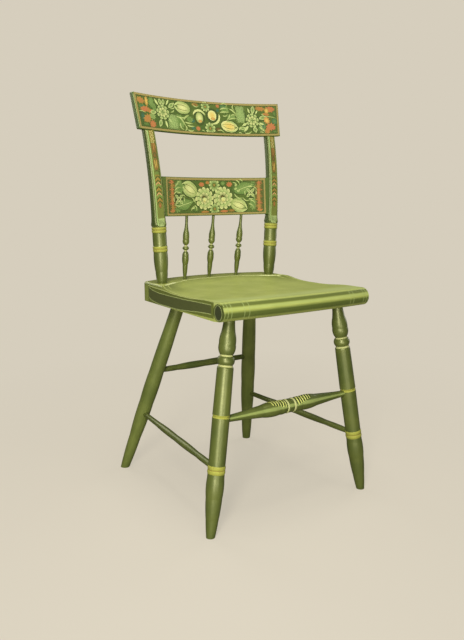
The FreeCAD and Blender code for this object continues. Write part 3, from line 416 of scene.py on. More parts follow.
def post_glaze(side):
    """Painted shade: the blade's left side, seen from the front, is a tone darker."""
    def glaze(recipe, colour):
        x, y, z = recipe.apart(recipe.here())
        rise = recipe.sum("SUBTRACT", z, DECK)
        middle = recipe.sum("MULTIPLY_ADD", rise, side * tan(SPLAY), side * POST_X)
        left = recipe.spread(recipe.sum("SUBTRACT", x, middle), -0.0095, -0.0085, 0.85, 0.0)
        blade = recipe.spread(z, DECK + 0.119, DECK + 0.123)
        return recipe.mix(recipe.sum("MULTIPLY", left, blade), colour, BLADE_SHADE)

    return glaze


for side_name, side in SIDES:
    base = Vector((side * POST_X, POST_Y, DECK))
    rise = Vector((side * sin(SPLAY), 0, cos(SPLAY)))
    bands = []
    for ring in POST_RINGS:
        bands.append((ring - 5.6 * MM, ring + 5.6 * MM, STRIPE_YELLOW))
        bands.append((ring - 0.6 * MM, ring + 0.6 * MM, OCHRE))
    enamelled("post_" + side_name, base, base + rise, bands, glaze=post_glaze(side))

for place, side in (("left", -1), ("centre", 0), ("right", 1)):
    foot = Vector((side * 0.069, 0.106 if side else 0.114, DECK))
    top = Vector((side * 0.072, 0.091, 0.59))
    reach = (top - foot).length
    bands = [(low * reach, high * reach, PALE_YELLOW) for low, high in SPINDLE_LINE_SHARES]
    enamelled("spindle_" + place, foot, top, bands)
print("posts: rings at", [round(v, 3) for v in POST_RINGS], "spindle:", round(reach, 4), "m long")

# %% [markdown]
# The plank's colours carry painted light. Its green is a lighter copy of the leg enamel,
# as if its top caught more light. Painted shade darkens the slope in front of the raised
# deck and both sides of the rear half, and the deck itself is a tone darker than the
# saddle. The rolled front has a painted highlight between two bands of painted shade,
# which follow the angle round the roll, and a painted highlight lies along the top of the
# roll and the seat just behind it. The two boards get a plain cool green, the ground of
# their stencils.

# %% Plank and boards
ROLL_Y = -204.2
ROLL_Z = 430.2
ROLL_RADIUS = 17.8
ROLL_BOW = 0.000219
# The seat's green is a lighter copy of the leg enamel: painted light, as if its top caught more light.
SEAT_GREEN_WITH_PAINTED_LIGHT = chart(178, 186, 102)
SEAT_DEEP_WITH_PAINTED_LIGHT = chart(160, 170, 88)
BOARD_GREEN = chart(88, 106, 48)
BOARD_DEEP = chart(64, 90, 38)
# Round the roll, from the top down: painted shade, a painted highlight, painted shade.
ROLL_PAINTED_LIGHT = ((0.84, 0.38, 0.95, SHADE_GREEN), (0.41, 0.18, 0.5, chart(150, 163, 98)),
              (-0.31, 0.56, 0.95, chart(76, 88, 38)))
# Painted shade on the slope up to the deck, then the deck's own darker tone.
DECK_SHADE_AND_TONE = ((0.4440, 0.4500, 0.45, SHADE_GREEN), (0.4500, 0.4507, 0.95, chart(146, 154, 72)))


def seat_glaze(recipe, colour):
    x, y, z = recipe.apart(recipe.here())
    behind = recipe.spread(y, -0.03, 0.04)
    # Painted shade: darker towards both sides of the rear half of the seat.
    corner = recipe.spread(recipe.sum("ABSOLUTE", x), 0.10, 0.145, 0.0, 0.55)
    colour = recipe.mix(recipe.sum("MULTIPLY", corner, behind), colour, SHADE_GREEN)
    # Painted shade on the slope in front of the deck, then the deck's darker tone.
    for low, high, strength, tint in DECK_SHADE_AND_TONE:
        share = recipe.sum("MULTIPLY", recipe.spread(z, low, high, 0.0, strength), behind)
        colour = recipe.mix(share, colour, tint)
    bow = recipe.sum("MULTIPLY", recipe.sum("MULTIPLY", x, x), ROLL_BOW / MM)
    middle_y = recipe.sum("ADD", bow, ROLL_Y * MM)
    forward = recipe.sum("SUBTRACT", middle_y, y)
    # Painted highlight along the top of the roll and the seat just behind it.
    edge = recipe.spread(recipe.sum("ABSOLUTE", recipe.sum("ADD", forward, 0.014)), 0.0, 0.026, 0.6, 0.0)
    colour = recipe.mix(recipe.sum("MULTIPLY", edge, recipe.spread(z, 0.44, 0.445)), colour, PAINTED_HIGHLIGHT_GREEN)
    # Painted highlight and painted shade bands round the roll.
    return painted_light_round(recipe, colour, middle_y, ROLL_Z * MM, ROLL_PAINTED_LIGHT,
                        recipe.spread(forward, -0.002, 0.002))


enamelled("seat_plank", (0, 0, DECK), (1, 0, DECK), slot="seat_paint", green=SEAT_GREEN_WITH_PAINTED_LIGHT,
          deep=SEAT_DEEP_WITH_PAINTED_LIGHT, glaze=seat_glaze, shine=0.5)
for board, height in (("crest_rail", 0.8), ("mid_rail", 0.63)):
    enamelled(board, (0, 0, height), (1, 0, height), slot="panel_paint", green=BOARD_GREEN, deep=BOARD_DEEP)
print("painted nodes:", sum(bool(piece.data.materials) for piece in nodes.values()), "of", len(nodes))

# %% [markdown]
# Stencils are paint, but thick paint: bronze powder and varnish stand a little proud of
# the board. An image on the board would look flat and blur in a close view, so each
# stroke, petal and leaf is a thin closed plate. A film collects them, drawn flat, in
# millimetres. Every corner carries its own colour, which gives the soft shading of a
# rubbed stencil, and each plate lies a hair higher or lower than the one before it.

# %% Film
FILM_SINK = -0.05
FILM_RISE = 0.10
FILM_STEP = 0.03
FILM_HAIR = 0.002
FILM_HAIRS = 12


class Film:
    """Thin closed plates: across, up and out of the face, in mm."""

    def __init__(self):
        self.points = []
        self.faces = []
        self.colours = []
        self.plates = 0

    def lift(self, level):
        self.plates += 1
        return FILM_STEP * level + FILM_HAIR * (self.plates % FILM_HAIRS)

    def closed(self, top, tops, colours, level):
        """A plate from its top corners and top faces, with a back and a rim."""
        first = len(self.points)
        count = len(top)
        high = FILM_RISE + self.lift(level)
        self.points += [(x, w, high) for x, w in top] + [(x, w, FILM_SINK) for x, w in top]
        self.colours += list(colours) * 2
        borders = {}
        for face in tops:
            self.faces.append([first + corner for corner in face])
            self.faces.append([first + count + corner for corner in reversed(face)])
            for start, end in zip(face, face[1:] + face[:1]):
                if borders.pop((end, start), None) is None:
                    borders[(start, end)] = True
        for start, end in borders:
            self.faces.append([first + end, first + start,
                               first + count + start, first + count + end])

    def add(self, mesh, x, w, level):
        """Plates that came from a node tree, set down at a place."""
        first = len(self.points)
        lift = self.lift(level)
        for vertex, tint in zip(mesh.vertices, mesh.attributes["paint"].data):
            self.points.append((vertex.co.x + x, vertex.co.y + w, vertex.co.z + lift))
            self.colours.append(tuple(tint.color))
        for face in mesh.polygons:
            self.faces.append([first + corner for corner in face.vertices])


print("film:", round(FILM_RISE - FILM_SINK, 3), "mm thick")

# %% [markdown]
# The painter's tools become methods: the cut stencil for round shapes, the pointed brush
# for strokes, and the striping brush for lines of even width. Round shapes are cut into
# rings and lines into short steps, so that they can bend with the face that they lie on.

# %% Brushes
PLATE_REACH = 6.5
LINE_STEP = 6.0


def even(start, end, step=LINE_STEP):
    """A straight path in short steps, which can follow a bent face."""
    count = max(2, ceil(dist(start, end) / step) + 1)
    return [(start[0] + (end[0] - start[0]) * index / (count - 1),
             start[1] + (end[1] - start[1]) * index / (count - 1)) for index in range(count)]


class Drawing(Film):
    """A film with the painter's tools."""

    def plate(self, rim, edge, heart, level=0):
        """A round-ish shape, shaded from its heart to its edge."""
        count = len(rim)
        x = sum(corner[0] for corner in rim) / count
        w = sum(corner[1] for corner in rim) / count
        reach = max(hypot(a - x, b - w) for a, b in rim)
        rings = max(1, ceil(reach / PLATE_REACH))
        top, colours, tops = [], [], []
        for ring in range(rings):
            share = 1 - ring / rings
            tint = tuple(b + (a - b) * share ** 1.5 for a, b in zip(edge, heart))
            top += [(x + (a - x) * share, w + (b - w) * share) for a, b in rim]
            colours += [tint] * count
            low, high = ring * count, (ring + 1) * count
            for index in range(count):
                after = (index + 1) % count
                inner = (high + after, high + index) if ring < rings - 1 else (high,)
                tops.append((low + index, low + after, *inner))
        self.closed(top + [(x, w)], tops, colours + [heart], level)

    def stroke(self, path, width, first, last=None, level=1, ends=0.25):
        """A brush stroke along a path, thin at both ends."""
        last = last or first
        count = len(path)
        corners, colours, tops = [], [], []
        for index, (x, w) in enumerate(path):
            before, after = path[max(index - 1, 0)], path[min(index + 1, count - 1)]
            run, rise = after[0] - before[0], after[1] - before[1]
            size = hypot(run, rise) or 1.0
            share = index / (count - 1)
            half = width / 2 * (ends + (1 - ends) * sin(pi * share) ** 0.6)
            corners += [(x + rise / size * half, w - run / size * half),
                        (x - rise / size * half, w + run / size * half)]
            colour = tuple(a + (b - a) * share for a, b in zip(first, last))
            colours += [colour, colour]
            if index:
                low = 2 * index - 2
                tops.append((low, low + 2, low + 3, low + 1))
        self.closed(corners, tops, colours, level)

    def line(self, path, width, colour, level=1):
        """A striping line of even width."""
        self.stroke(path, width, colour, level=level, ends=1.0)

    def rule(self, start, end, width, colour, level=1, step=LINE_STEP):
        """A straight striping line."""
        self.line(even(start, end, step), width, colour, level)

    def band(self, lower, upper, colour, level=0):
        """A field between a lower and an upper path of the same count."""
        count = len(lower)
        tops = [(index, index + 1, count + index + 1, count + index) for index in range(count - 1)]
        self.closed(list(lower) + list(upper), tops, [colour] * 2 * count, level)


print("a 100 mm line:", len(even((0, 0), (100, 0))), "points")

# %% [markdown]
# The finished drawing is laid on its face: a ray cast drops every corner onto the CAD
# surface and keeps it where it was drawn, which a shrinkwrap wouldn't. The paint reads
# the corners' colours and rubs them thin with two noises, as an old stencil is.


# %% Laying a drawing
def skin(node):
    """The surface of a CAD node, for dropping corners onto it."""
    piece = nodes[node]
    corners = [piece.matrix_world @ vertex.co for vertex in piece.data.vertices]
    return BVHTree.FromPolygons(corners, [tuple(face.vertices) for face in piece.data.polygons])


def lay(film, name, place, surface, material, reach=5):
    """The drawing on its face: place(across, up, out) gives a point near the surface."""
    corners = []
    for x, w, out in film.points:
        high = Vector(place(x * MM, w * MM, reach * MM))
        low = Vector(place(x * MM, w * MM, -reach * MM))
        inward = (low - high).normalized()
        found = surface.ray_cast(high, inward, 2 * reach * MM)[0]
        base = found if found is not None else (high + low) / 2
        corners.append(base - inward * out * MM)
    mesh = bpy.data.meshes.new(name)
    mesh.from_pydata(corners, [], film.faces)
    paint = mesh.attributes.new("paint", "FLOAT_COLOR", "POINT")
    for item, colour in zip(paint.data, film.colours):
        item.color = colour
    mesh.materials.append(material)
    piece = show(name, mesh)
    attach(piece, "root")
    print(name, len(mesh.polygons), "faces")


def film_paint(name, rough, dust_share):
    """Stencil paint: its colours come from the drawing, its dust from a fine noise."""
    recipe = Recipe(name)
    drawn = recipe.node("ShaderNodeAttribute", settings=[("attribute_name", "paint")])
    dust = recipe.noise(recipe.here(), 1400, 2.0, 0.7)
    patch = recipe.noise(recipe.here(), 60, 3.0, 0.6)
    rubbed = recipe.sum("MULTIPLY", recipe.spread(dust, 0.42, 0.72), recipe.spread(patch, 0.35, 0.7))
    share = recipe.sum("MULTIPLY", rubbed, dust_share)
    recipe.coat(recipe.mix(share, drawn, recipe.vector("SCALE", drawn, Scale=0.6)), rough)
    recipe.bump(dust, 0.15, 0.1 * MM)
    return recipe.material


STENCIL_PAINT = film_paint("stencil_paint", 0.5, 0.6)
STRIPING_PAINT = film_paint("striping_paint", 0.4, 0.5)
print("paints:", STENCIL_PAINT.name, STRIPING_PAINT.name)

# %% [markdown]
# Petals repeat, so Geometry Nodes make them. The tree makes one plate, shapes it into a
# petal, shades it from root to tip, copies it round a centre, and realizes the copies.
# Ten inputs turn the same tree into a daisy, a ruffled blossom or the scales of a bud.

# %% Petal tree
PETAL_SIDES = 14
PETAL_INPUTS = (("Petals", "Int"), ("Inner Radius", "Float"), ("Length", "Float"), ("Width", "Float"),
                ("Taper", "Float"), ("Sweep", "Float"), ("Turn", "Float"), ("Root Colour", "Color"),
                ("Tip Colour", "Color"), ("Paint", "Material"))


def petal_tree():
    group = bpy.data.node_groups.new("petal_ring", "GeometryNodeTree")
    sockets = {name: group.interface.new_socket(name=name, in_out="INPUT",
                                                socket_type="NodeSocket" + kind).identifier
               for name, kind in PETAL_INPUTS}
    group.interface.new_socket(name="Plates", in_out="OUTPUT", socket_type="NodeSocketGeometry")
    tree = Tree(group)
    given = tree.node("NodeGroupInput").node.outputs
    plate = tree.node("GeometryNodeMeshCylinder", settings=[("fill_type", "TRIANGLE_FAN")],
                      Vertices=PETAL_SIDES, Radius=0.5, Depth=FILM_RISE - FILM_SINK)
    x, y, z = tree.apart(tree.node("GeometryNodeInputPosition"))
    share = tree.sum("ADD", x, 0.5)
    shade = tree.mix(share, given["Root Colour"], given["Tip Colour"])
    painted = tree.node("GeometryNodeStoreNamedAttribute", plate, Name="paint", Value=shade,
                        settings=[("data_type", "FLOAT_COLOR"), ("domain", "POINT")])
    narrow = tree.sum("MULTIPLY", given["Taper"], tree.sum("SUBTRACT", 1.0, share))
    wide = tree.sum("MULTIPLY", tree.sum("SUBTRACT", 1.0, narrow), given["Width"])
    across = tree.sum("MULTIPLY_ADD", share, given["Length"], given["Inner Radius"])
    swept = tree.sum("MULTIPLY", tree.sum("MULTIPLY", share, share), given["Sweep"])
    side = tree.sum("MULTIPLY_ADD", y, wide, swept)
    high = tree.sum("ADD", z, (FILM_RISE + FILM_SINK) / 2)
    petal = tree.node("GeometryNodeSetPosition", painted,
                      Position=tree.node("ShaderNodeCombineXYZ", across, side, high))
    spots = tree.node("GeometryNodePoints", Count=given["Petals"])
    step = tree.sum("DIVIDE", 2 * pi, given["Petals"])
    turn = tree.sum("MULTIPLY_ADD", tree.node("GeometryNodeInputIndex"), step, given["Turn"])
    copies = tree.node("GeometryNodeInstanceOnPoints", Points=spots, Instance=petal,
                       Rotation=tree.node("ShaderNodeCombineXYZ", Z=turn))
    real = tree.node("GeometryNodeRealizeInstances", copies)
    tree.node("NodeGroupOutput", tree.node("GeometryNodeSetMaterial", real, Material=given["Paint"]))
    return group, sockets


PETAL_TREE, PETAL_SOCKETS = petal_tree()
print("petal tree:", len(PETAL_TREE.nodes), "nodes")


def petals(film, x, w, size, ring, root, tip, turn=0.0, taper=0.6, sweep=0.0, level=1):
    """A ring of petals: (count, inner radius, length, width), the last three as shares of a size."""
    maker = show("petal_maker", bpy.data.meshes.new("petal_maker"))
    modifier = maker.modifiers.new("petals", "NODES")
    modifier.node_group = PETAL_TREE
    count, *lengths = ring
    values = (count, *(size * share for share in lengths), taper, sweep, radians(turn), root, tip,
              STENCIL_PAINT)
    for (name, kind), value in zip(PETAL_INPUTS, values):
        modifier[PETAL_SOCKETS[name]] = value
    seen = maker.evaluated_get(bpy.context.evaluated_depsgraph_get())
    mesh = bpy.data.meshes.new_from_object(seen)
    film.add(mesh, x, w, level)
    bpy.data.objects.remove(maker)
    bpy.data.meshes.remove(mesh)


# %% [markdown]
# The motifs are the old stock of a chair painter: melons, small round fruit, ruffled
# blossoms, daisies, ribbon leaves, netted cones and ragged ends. They are built from four
# paths, an oval, a curl, an arc and a ragged oval, so that both boards share one hand.

# %% Stencil colours and paths
PALE = chart(182, 194, 122)
HUSK = chart(134, 152, 82)
CREAM = chart(204, 206, 136)
GOLD = chart(206, 178, 88)
ORANGE = chart(168, 114, 60)
FLAME = chart(172, 104, 64)
TAWNY = chart(154, 120, 54)
GILT = chart(146, 132, 74)
MOSS = chart(94, 122, 56)
SAGE = chart(116, 140, 74)
TEAL = chart(60, 100, 72)
SHADE = chart(62, 78, 32)
BROWN = chart(112, 86, 38)


def turned(x, w, along, side, turn):
    """The point that lies along and to the left of a line from (x, w) at turn degrees."""
    angle = radians(turn)
    return (x + along * cos(angle) - side * sin(angle), w + along * sin(angle) + side * cos(angle))


def oval(x, w, long, wide, turn=0.0, count=22, point=0.0, squash=0.0):
    """The rim of an oval, drawn anticlockwise; point sharpens its far end."""
    rim = []
    for index in range(count):
        step = 2 * pi * index / count
        along = cos(step)
        side = sin(step) * (1 - point * max(along, 0) - squash * max(-along, 0))
        rim.append(turned(x, w, along * long, side * wide, turn))
    return rim


def curl(start, end, bend=0.2, count=9):
    """A path from start to end that swings out to its left by a share of its length."""
    run, rise = end[0] - start[0], end[1] - start[1]
    path = []
    for index in range(count):
        share = index / (count - 1)
        out = 4 * bend * share * (1 - share)
        path.append((start[0] + run * share - rise * out, start[1] + rise * share + run * out))
    return path


def arc(x, w, radius, first, last, count=13, flat=1.0):
    """A path round a centre, between two angles in degrees."""
    path = []
    for index in range(count):
        angle = radians(first + (last - first) * index / (count - 1))
        path.append((x + radius * cos(angle), w + radius * flat * sin(angle)))
    return path


def splash(film, x, w, long, wide, turn, colour, edge, seed, level=1):
    """A ragged leaf."""
    rim = []
    for index, (across, up) in enumerate(oval(0, 0, long, wide, 0, 18)):
        ragged = 1.1 if index % 2 else 0.72 + 0.14 * sin(seed + 2.7 * index)
        rim.append(turned(x, w, ragged * across, ragged * up, turn))
    film.plate(rim, edge, colour, level)


def patches(film, rows, seed_share):
    """Ragged leaves: (across, up, length, width, heart, edge), and a turn where there is one."""
    for index, (x, w, long, wide, colour, edge, *turn) in enumerate(rows):
        splash(film, x, w, long, wide, turn[0] if turn else 0, colour, edge, seed_share * x + w, index % 3)


def ribbons(film, rows, level):
    """Slim curled leaves: the start, the end, the bend and the width of each."""
    for x, w, far_x, far_w, bend, width in rows:
        film.stroke(curl((x, w), (far_x, far_w), bend), width, PALE, HUSK, level=level)


def rules(film, rows, side=1):
    """Striping lines: the start, the end, the width, the colour and the level of each."""
    for x, w, far_x, far_w, width, tint, level in rows:
        film.rule((side * x, w), (side * far_x, far_w), width, tint, level)


print("oval:", len(oval(0, 0, 10, 5)), "corners")

# %% [markdown]
# Leaves and fruit come next. Each lies on a slightly larger dark patch, because the
# painter shaded the ground round a motif to lift it off the board, and each is a plate
# with strokes over it: veins on a leaf, ribs and a pale hull on a melon.


# %% Leaves and fruit
def leaf(film, x, w, long, wide, turn, edge, heart, level=1, veins=0, vein=None):
    """A pointed leaf with its veins."""
    film.plate(oval(x, w, long, wide, turn, point=0.75, squash=0.3), edge, heart, level)
    for index in range(veins):
        share = (index + 0.5) / veins * 2 - 1
        near = turned(x, w, 0.75 * long * share, 0, turn)
        reach = wide * 0.85 * (1 - abs(share) * 0.6)
        for side in (-1, 1):
            far = turned(*near, reach, 0, turn + side * 52)
            film.stroke(curl(near, far, 0.06 * side, 5), 0.9, vein, level=level + 1)


def melon(film, x, w, long, wide, turn, skin_tint, glow):
    """A ribbed fruit half out of its pale hull; its tail points along turn."""
    def spot(along, side):
        return turned(x, w, along * long, side, turn)

    film.plate(oval(x, w, long * 1.13, wide * 1.16, turn, 26), SHADE, SHADE, 0)
    film.plate(oval(*spot(-0.03, 0), long, wide, turn, 26), skin_tint, glow, 1)
    root = spot(-0.96, 0)
    slim = wide / long
    for side in (1, -1):
        film.stroke(curl(spot(0.94, 0), root, 0.208 * side * slim), 1.1, BROWN, MOSS, level=3)
    for side in (1, -1):
        film.stroke(curl(spot(1.05, 0), root, 0.435 * side * slim, 12)[:9], 0.30 * wide, PALE,
                    HUSK, level=2)
    for side in (-1, 0, 1):
        film.stroke(curl(spot(1.02, 0), spot(0.5, side * 0.42 * wide), 0.12 * side, 6), 1.3, SHADE,
                    MOSS, level=4)


def fruit(film, x, w, long, wide, rind, glow, first, last, reach):
    """A smooth oval fruit in its dark hollow, with a pale leaf curled round it."""
    film.plate(oval(x, w, wide * 1.5, long * 1.42), SHADE, SHADE, 0)
    film.plate(oval(x, w, wide, long), rind, glow, 1)
    film.plate(oval(x + 0.1 * wide, w - 0.62 * long, 0.5 * wide, 0.26 * long), ORANGE, GOLD, 2)
    film.stroke(arc(x, w, reach, first, last), 5.0, PALE, CREAM, level=2, ends=0.15)


def net(film, left, right, low, high, slope, colour, step=2.8, level=2):
    """The netted side of a cone: two sets of fine strokes."""
    count = int((right - left + high - low) / step)
    for index in range(count):
        for side in (-1, 1):
            start = (left if side > 0 else right) + side * step * (index - 4)
            path = [(start + side * slope * share * (high - low) / 8, low + (high - low) * share / 8)
                    for share in range(9)]
            path = [(x, w) for x, w in path if left <= x <= right]
            if len(path) > 2:
                film.stroke(path, 1.0, colour, level=level, ends=0.5)


sample = Drawing()
melon(sample, 0, 0, 20, 14, 0, HUSK, CREAM)
print("a melon:", sample.plates, "plates")

# %% [markdown]
# The flowers are rings of petals from the tree, one over another. Their sizes are shares
# of the flower's radius, so a flower keeps its character at any size.

# %% Flowers
BLOSSOM_RINGS = (((12, 0.54, 0.48, 0.5), MOSS, CREAM, 0, 0.45, 1.5),
                 ((11, 0.36, 0.42, 0.42), MOSS, PALE, 14, 0.5, 1.2),
                 ((8, 0.14, 0.42, 0.40), SHADE, CREAM, 8, 0.6, 0.8))


def daisy(film, x, w, radius, count=9, turn=0.0):
    film.plate(oval(x, w, radius * 1.06, radius * 1.06), SHADE, SHADE, 1)
    petals(film, x, w, radius, (count, 0.26, 0.76, 5.6 / count), MOSS, PALE, turn, 0.62, level=2)
    petals(film, x, w, radius, (5, 0.05, 0.24, 0.18), GOLD, BROWN, turn + 20, level=3)


def blossom(film, x, w, radius, turn=0.0):
    """A ruffled blossom: three rings of petals round a brown heart and a pale cup."""
    film.plate(oval(x, w, radius * 1.05, radius * 1.02, count=28), SHADE, SHADE, 0)
    for level, (ring, root, tip, more, taper, sweep) in enumerate(BLOSSOM_RINGS, 1):
        petals(film, x, w, radius, ring, root, tip, turn + more, taper, sweep, level)
    film.plate(oval(x - radius * 0.06, w + radius * 0.12, radius * 0.2, radius * 0.13), SHADE, BROWN, 5)
    film.plate(oval(x + radius * 0.03, w - radius * 0.09, radius * 0.24, radius * 0.17), PALE, CREAM, 6)
    petals(film, x, w - radius * 0.2, radius, (5, 0.03, 0.16, 0.1), GOLD, CREAM, 200, level=7)


def ray_flower(film, x, w, radius, rays):
    """A head of pale scales with long leaves; rays are (angle, reach, long, wide)."""
    film.plate(oval(x, w, radius * 1.18, radius * 1.18, count=26), SHADE, SHADE, 0)
    for angle, reach, long, wide in rays:
        spot = turned(x, w, reach, 0, angle)
        leaf(film, *spot, long * 1.16, wide * 1.45, angle, SHADE, SHADE, 1)
        leaf(film, *spot, long, wide, angle, PALE, MOSS if wide > 4 else PALE, 2)
    petals(film, x, w, radius, (9, 0.6, 0.5, 0.66), MOSS, PALE, 8, 0.4, level=3)
    petals(film, x, w, radius, (7, 0.24, 0.46, 0.54), HUSK, CREAM, 30, 0.5, level=4)
    petals(film, x, w, radius, (4, 0.02, 0.34, 0.3), MOSS, PALE, 45, level=5)


sample = Drawing()
blossom(sample, 0, 0, 24)
print("a blossom:", len(sample.faces), "faces")

# %% [markdown]
# A board is bent, and the crest leans back too. Each drawing is laid on the front face by
# the same few sizes that shape the board: the lean of the posts at that height, the
# radius of the bend and half the thickness.

# %% Faces of the boards
BEND_START = 0.134
BEND_RADIUS = 0.740
CREST_ALONG = 0.3156 / cos(SPLAY)


def lean_at(along):
    """Sine and cosine of the post's lean at a length above the deck, and how far back."""
    sine = max(along - BEND_START, 0) / BEND_RADIUS
    cosine = sqrt(1 - sine * sine)
    return sine, cosine, BEND_RADIUS * (1 - cosine)


def bent_face(along, half, radius, below, thickness, across):
    """place(across, up, out) for the front of a bent board.

    The board crosses the posts at that length along them and half across, and its lower
    edge lies below that point.
    """
    sine, cosine, back = lean_at(along)
    bow = radius - sqrt(radius * radius - half * half)
    middle_y = POST_Y + back + bow * cosine - below * sine
    middle_z = DECK + along * cos(SPLAY) - bow * sine * across - below * cosine
    level = thickness / 2 * sine / cosine * across

    def place(x, w, out):
        inward = -(radius - sqrt(radius * radius - x * x)) - thickness / 2 - out
        up = w - level
        return (x, middle_y + inward * cosine + up * sine, middle_z - inward * sine + up * cosine)

    return place


crest_face = bent_face(CREST_ALONG, POST_X + CREST_ALONG * sin(SPLAY), 0.880, 0.0, 0.014, 1)
rail_face = bent_face(0.180, 0.1373, 0.500, 0.041, 0.012, 0)
print("crest face:", [round(v, 4) for v in crest_face(0, 0, 0)], "rail face:",
      [round(v, 4) for v in rail_face(0, 0, 0)])

# %% [markdown]
# The crest has a gold border with a dark line inside it. Ragged patches of orange and
# green fill the ends and the ground between the motifs. Three heights in turn keep
# neighbours apart.

# %% Crest border and ends
crest = Drawing()
for side in (-1, 1):
    rules(crest, ((183.2, 75.4, 177.0, 2.2, 3.8, GILT, 4), (180.4, 72.0, 175.0, 6.4, 1.1, SHADE, 2),
                  (186.2, 75.4, 180.2, 0.8, 0.8, HUSK, 2)), side)
rules(crest, ((-183, 73.4, 183, 73.4, 4.2, GILT, 5), (-177, 4.0, 177, 4.0, 4.0, GILT, 5),
              (-180, 70.6, 180, 70.6, 1.1, SHADE, 3), (-176, 6.7, 176, 6.7, 1.1, SHADE, 3)))

CREST_SPLASHES = (
    (-169, 61, 11, 8, ORANGE, TAWNY, -12), (-155, 60, 4.5, 12, GOLD, TAWNY),
    (-144, 60, 8, 12, SAGE, MOSS), (-168, 49, 8, 5, TEAL, MOSS), (-161, 43, 13, 6.5, FLAME, ORANGE, 8),
    (-148, 41, 8, 5, ORANGE, TAWNY, -8), (-168, 27, 8, 12, TEAL, SHADE),
    (-157, 25, 12, 9, ORANGE, TAWNY, 38), (-143, 30, 8, 7, SAGE, HUSK), (-145, 14, 8, 9, ORANGE, FLAME),
    (-162, 12, 11, 4.5, MOSS, SHADE), (-137, 50, 5, 9, MOSS, SAGE), (138, 65, 13, 6, ORANGE, TAWNY, -8),
    (163, 63, 13, 7, ORANGE, FLAME, -5), (154, 60, 6, 7, GOLD, TAWNY), (152, 51, 10, 4.5, ORANGE, TAWNY),
    (173, 53, 6, 8, MOSS, SHADE), (152, 37, 8, 9, GOLD, ORANGE, 20), (171, 35, 7, 7, MOSS, TEAL),
    (160, 22, 13, 9, ORANGE, FLAME, 20), (167, 20, 5, 5, FLAME, FLAME), (149, 12, 8, 6, ORANGE, TAWNY),
    (142, 25, 5, 11, TEAL, SAGE), (169, 11, 9, 3.4, MOSS, SHADE), (-29, 14, 6, 5, FLAME, ORANGE),
    (29, 67, 5, 4, FLAME, ORANGE), (28, 57, 4, 4, TEAL, TEAL), (-40, 30, 5, 4, TEAL, TEAL),
    (-41, 14, 6, 4, TEAL, TEAL), (42, 67, 8, 4, MOSS, TEAL), (-30, 66, 9, 4, BROWN, TAWNY),
    (-48, 33, 8, 7, MOSS, SAGE), (-74, 26, 11, 15, MOSS, SAGE, 10), (64, 44, 14, 7, SAGE, MOSS),
    (46, 60, 12, 9, MOSS, SAGE), (25, 14, 10, 6, BROWN, SHADE), (90, 14, 12, 7, MOSS, SHADE),
    (-90, 55, 7, 6, MOSS, SHADE), (131, 18, 8, 9, MOSS, SHADE))
patches(crest, CREST_SPLASHES, 0.4)
print("crest:", len(CREST_SPLASHES), "patches")

# %% [markdown]
# Between the ends lies the fruit: two netted cones at the back, two large flowers, two
# melons, two round fruit in the middle and two daisies. Ribbon leaves fill what is left
# of the ground.

# %% Crest flowers and fruit
NET_GREEN = chart(150, 172, 102)

for left, right, low, high, slope in ((-105, -78, 8, 40, 0.7), (73, 98, 31, 69, -0.7)):
    crest.plate(oval((left + right) / 2, (low + high) / 2, 15, 18, 0, 24), SHADE, MOSS, 1)
    net(crest, left, right, low, high, slope, NET_GREEN)
ray_flower(crest, -116, 42, 14.5, ((124, 25, 8, 2.8), (101, 23, 7, 4.2), (80, 23, 7, 4.2),
                                   (57, 28, 8.5, 2.2), (36, 30, 10, 4.6), (186, 25, 8, 5.0),
                                   (250, 26, 9, 4.8), (284, 26, 8, 2.8), (316, 24, 6, 2.4)))
ray_flower(crest, 115, 37, 15, ((80, 26, 10, 5.4), (106, 24, 6.5, 2.4), (14, 29, 10.5, 5.2),
                                (318, 30, 9, 2.4), (282, 22, 7, 6.0), (226, 27, 9.5, 3.6),
                                (204, 24, 7.5, 2.8), (342, 24, 6.5, 2.6), (56, 24, 5, 2.2)))
melon(crest, -64, 57, 20, 13.5, 172, HUSK, CREAM)
melon(crest, 54, 22, 21, 13, -8, CREAM, GOLD)
fruit(crest, -22, 38, 12, 9.5, HUSK, CREAM, 22, 160, 16.5)
fruit(crest, 12, 45, 11.5, 11, CREAM, GOLD, -95, 12, 18.5)
daisy(crest, -3, 64, 11)
daisy(crest, 3, 16, 13, turn=15)

CREST_RIBBONS = (
    (-82, 37, -48, 42, -0.14, 2.6), (-76, 36, -61, 16, 0.1, 3.6), (-62, 31, -50, 42, 0.12, 2.8),
    (-73, 23, -66, 9, -0.28, 3.4), (-61, 18, -64, 7, 0.34, 3.0), (-61, 26, -42, 24, -0.06, 3.0),
    (-56, 19, -38, 18, -0.06, 3.0), (-57, 10, -40, 10, -0.18, 2.8), (-86, 50, -96, 44, 0.15, 2.2),
    (-84, 55, -96, 52, 0.1, 2.2), (35, 60, 55, 61, 0.14, 3.0), (34, 53, 58, 54, 0.05, 2.8),
    (38, 70, 55, 68, 0.3, 2.4), (58, 50, 49, 37, 0.14, 3.2), (60, 62, 76, 48, 0.1, 3.8),
    (70, 71, 71, 60, -0.28, 3.0), (40, 46, 53, 50, -0.2, 2.4), (55, 38, 75, 41, 0.06, 2.6),
    (62, 47, 75, 45, 0.26, 2.4), (78, 14, 90, 20, 0.3, 3.0), (92, 8, 110, 13, -0.18, 2.6),
    (22, 12, 38, 7, 0.2, 2.4), (76, 8, 84, 6, 0.2, 2.2), (128, 32, 139, 13, 0.1, 2.6),
    (131, 10, 141, 7, 0.2, 2.2), (152, 46, 176, 42, 0.06, 1.6), (140, 52, 146, 46, 0.2, 2.0),
    (-176, 38, -160, 35, 0.1, 1.6), (-36, 68, -18, 66, -0.3, 1.8), (-20, 10, -12, 8, 0.2, 2.0))
ribbons(crest, CREST_RIBBONS, 4)
leaf(crest, 88, 19, 8, 4, 12, PALE, MOSS, 3)
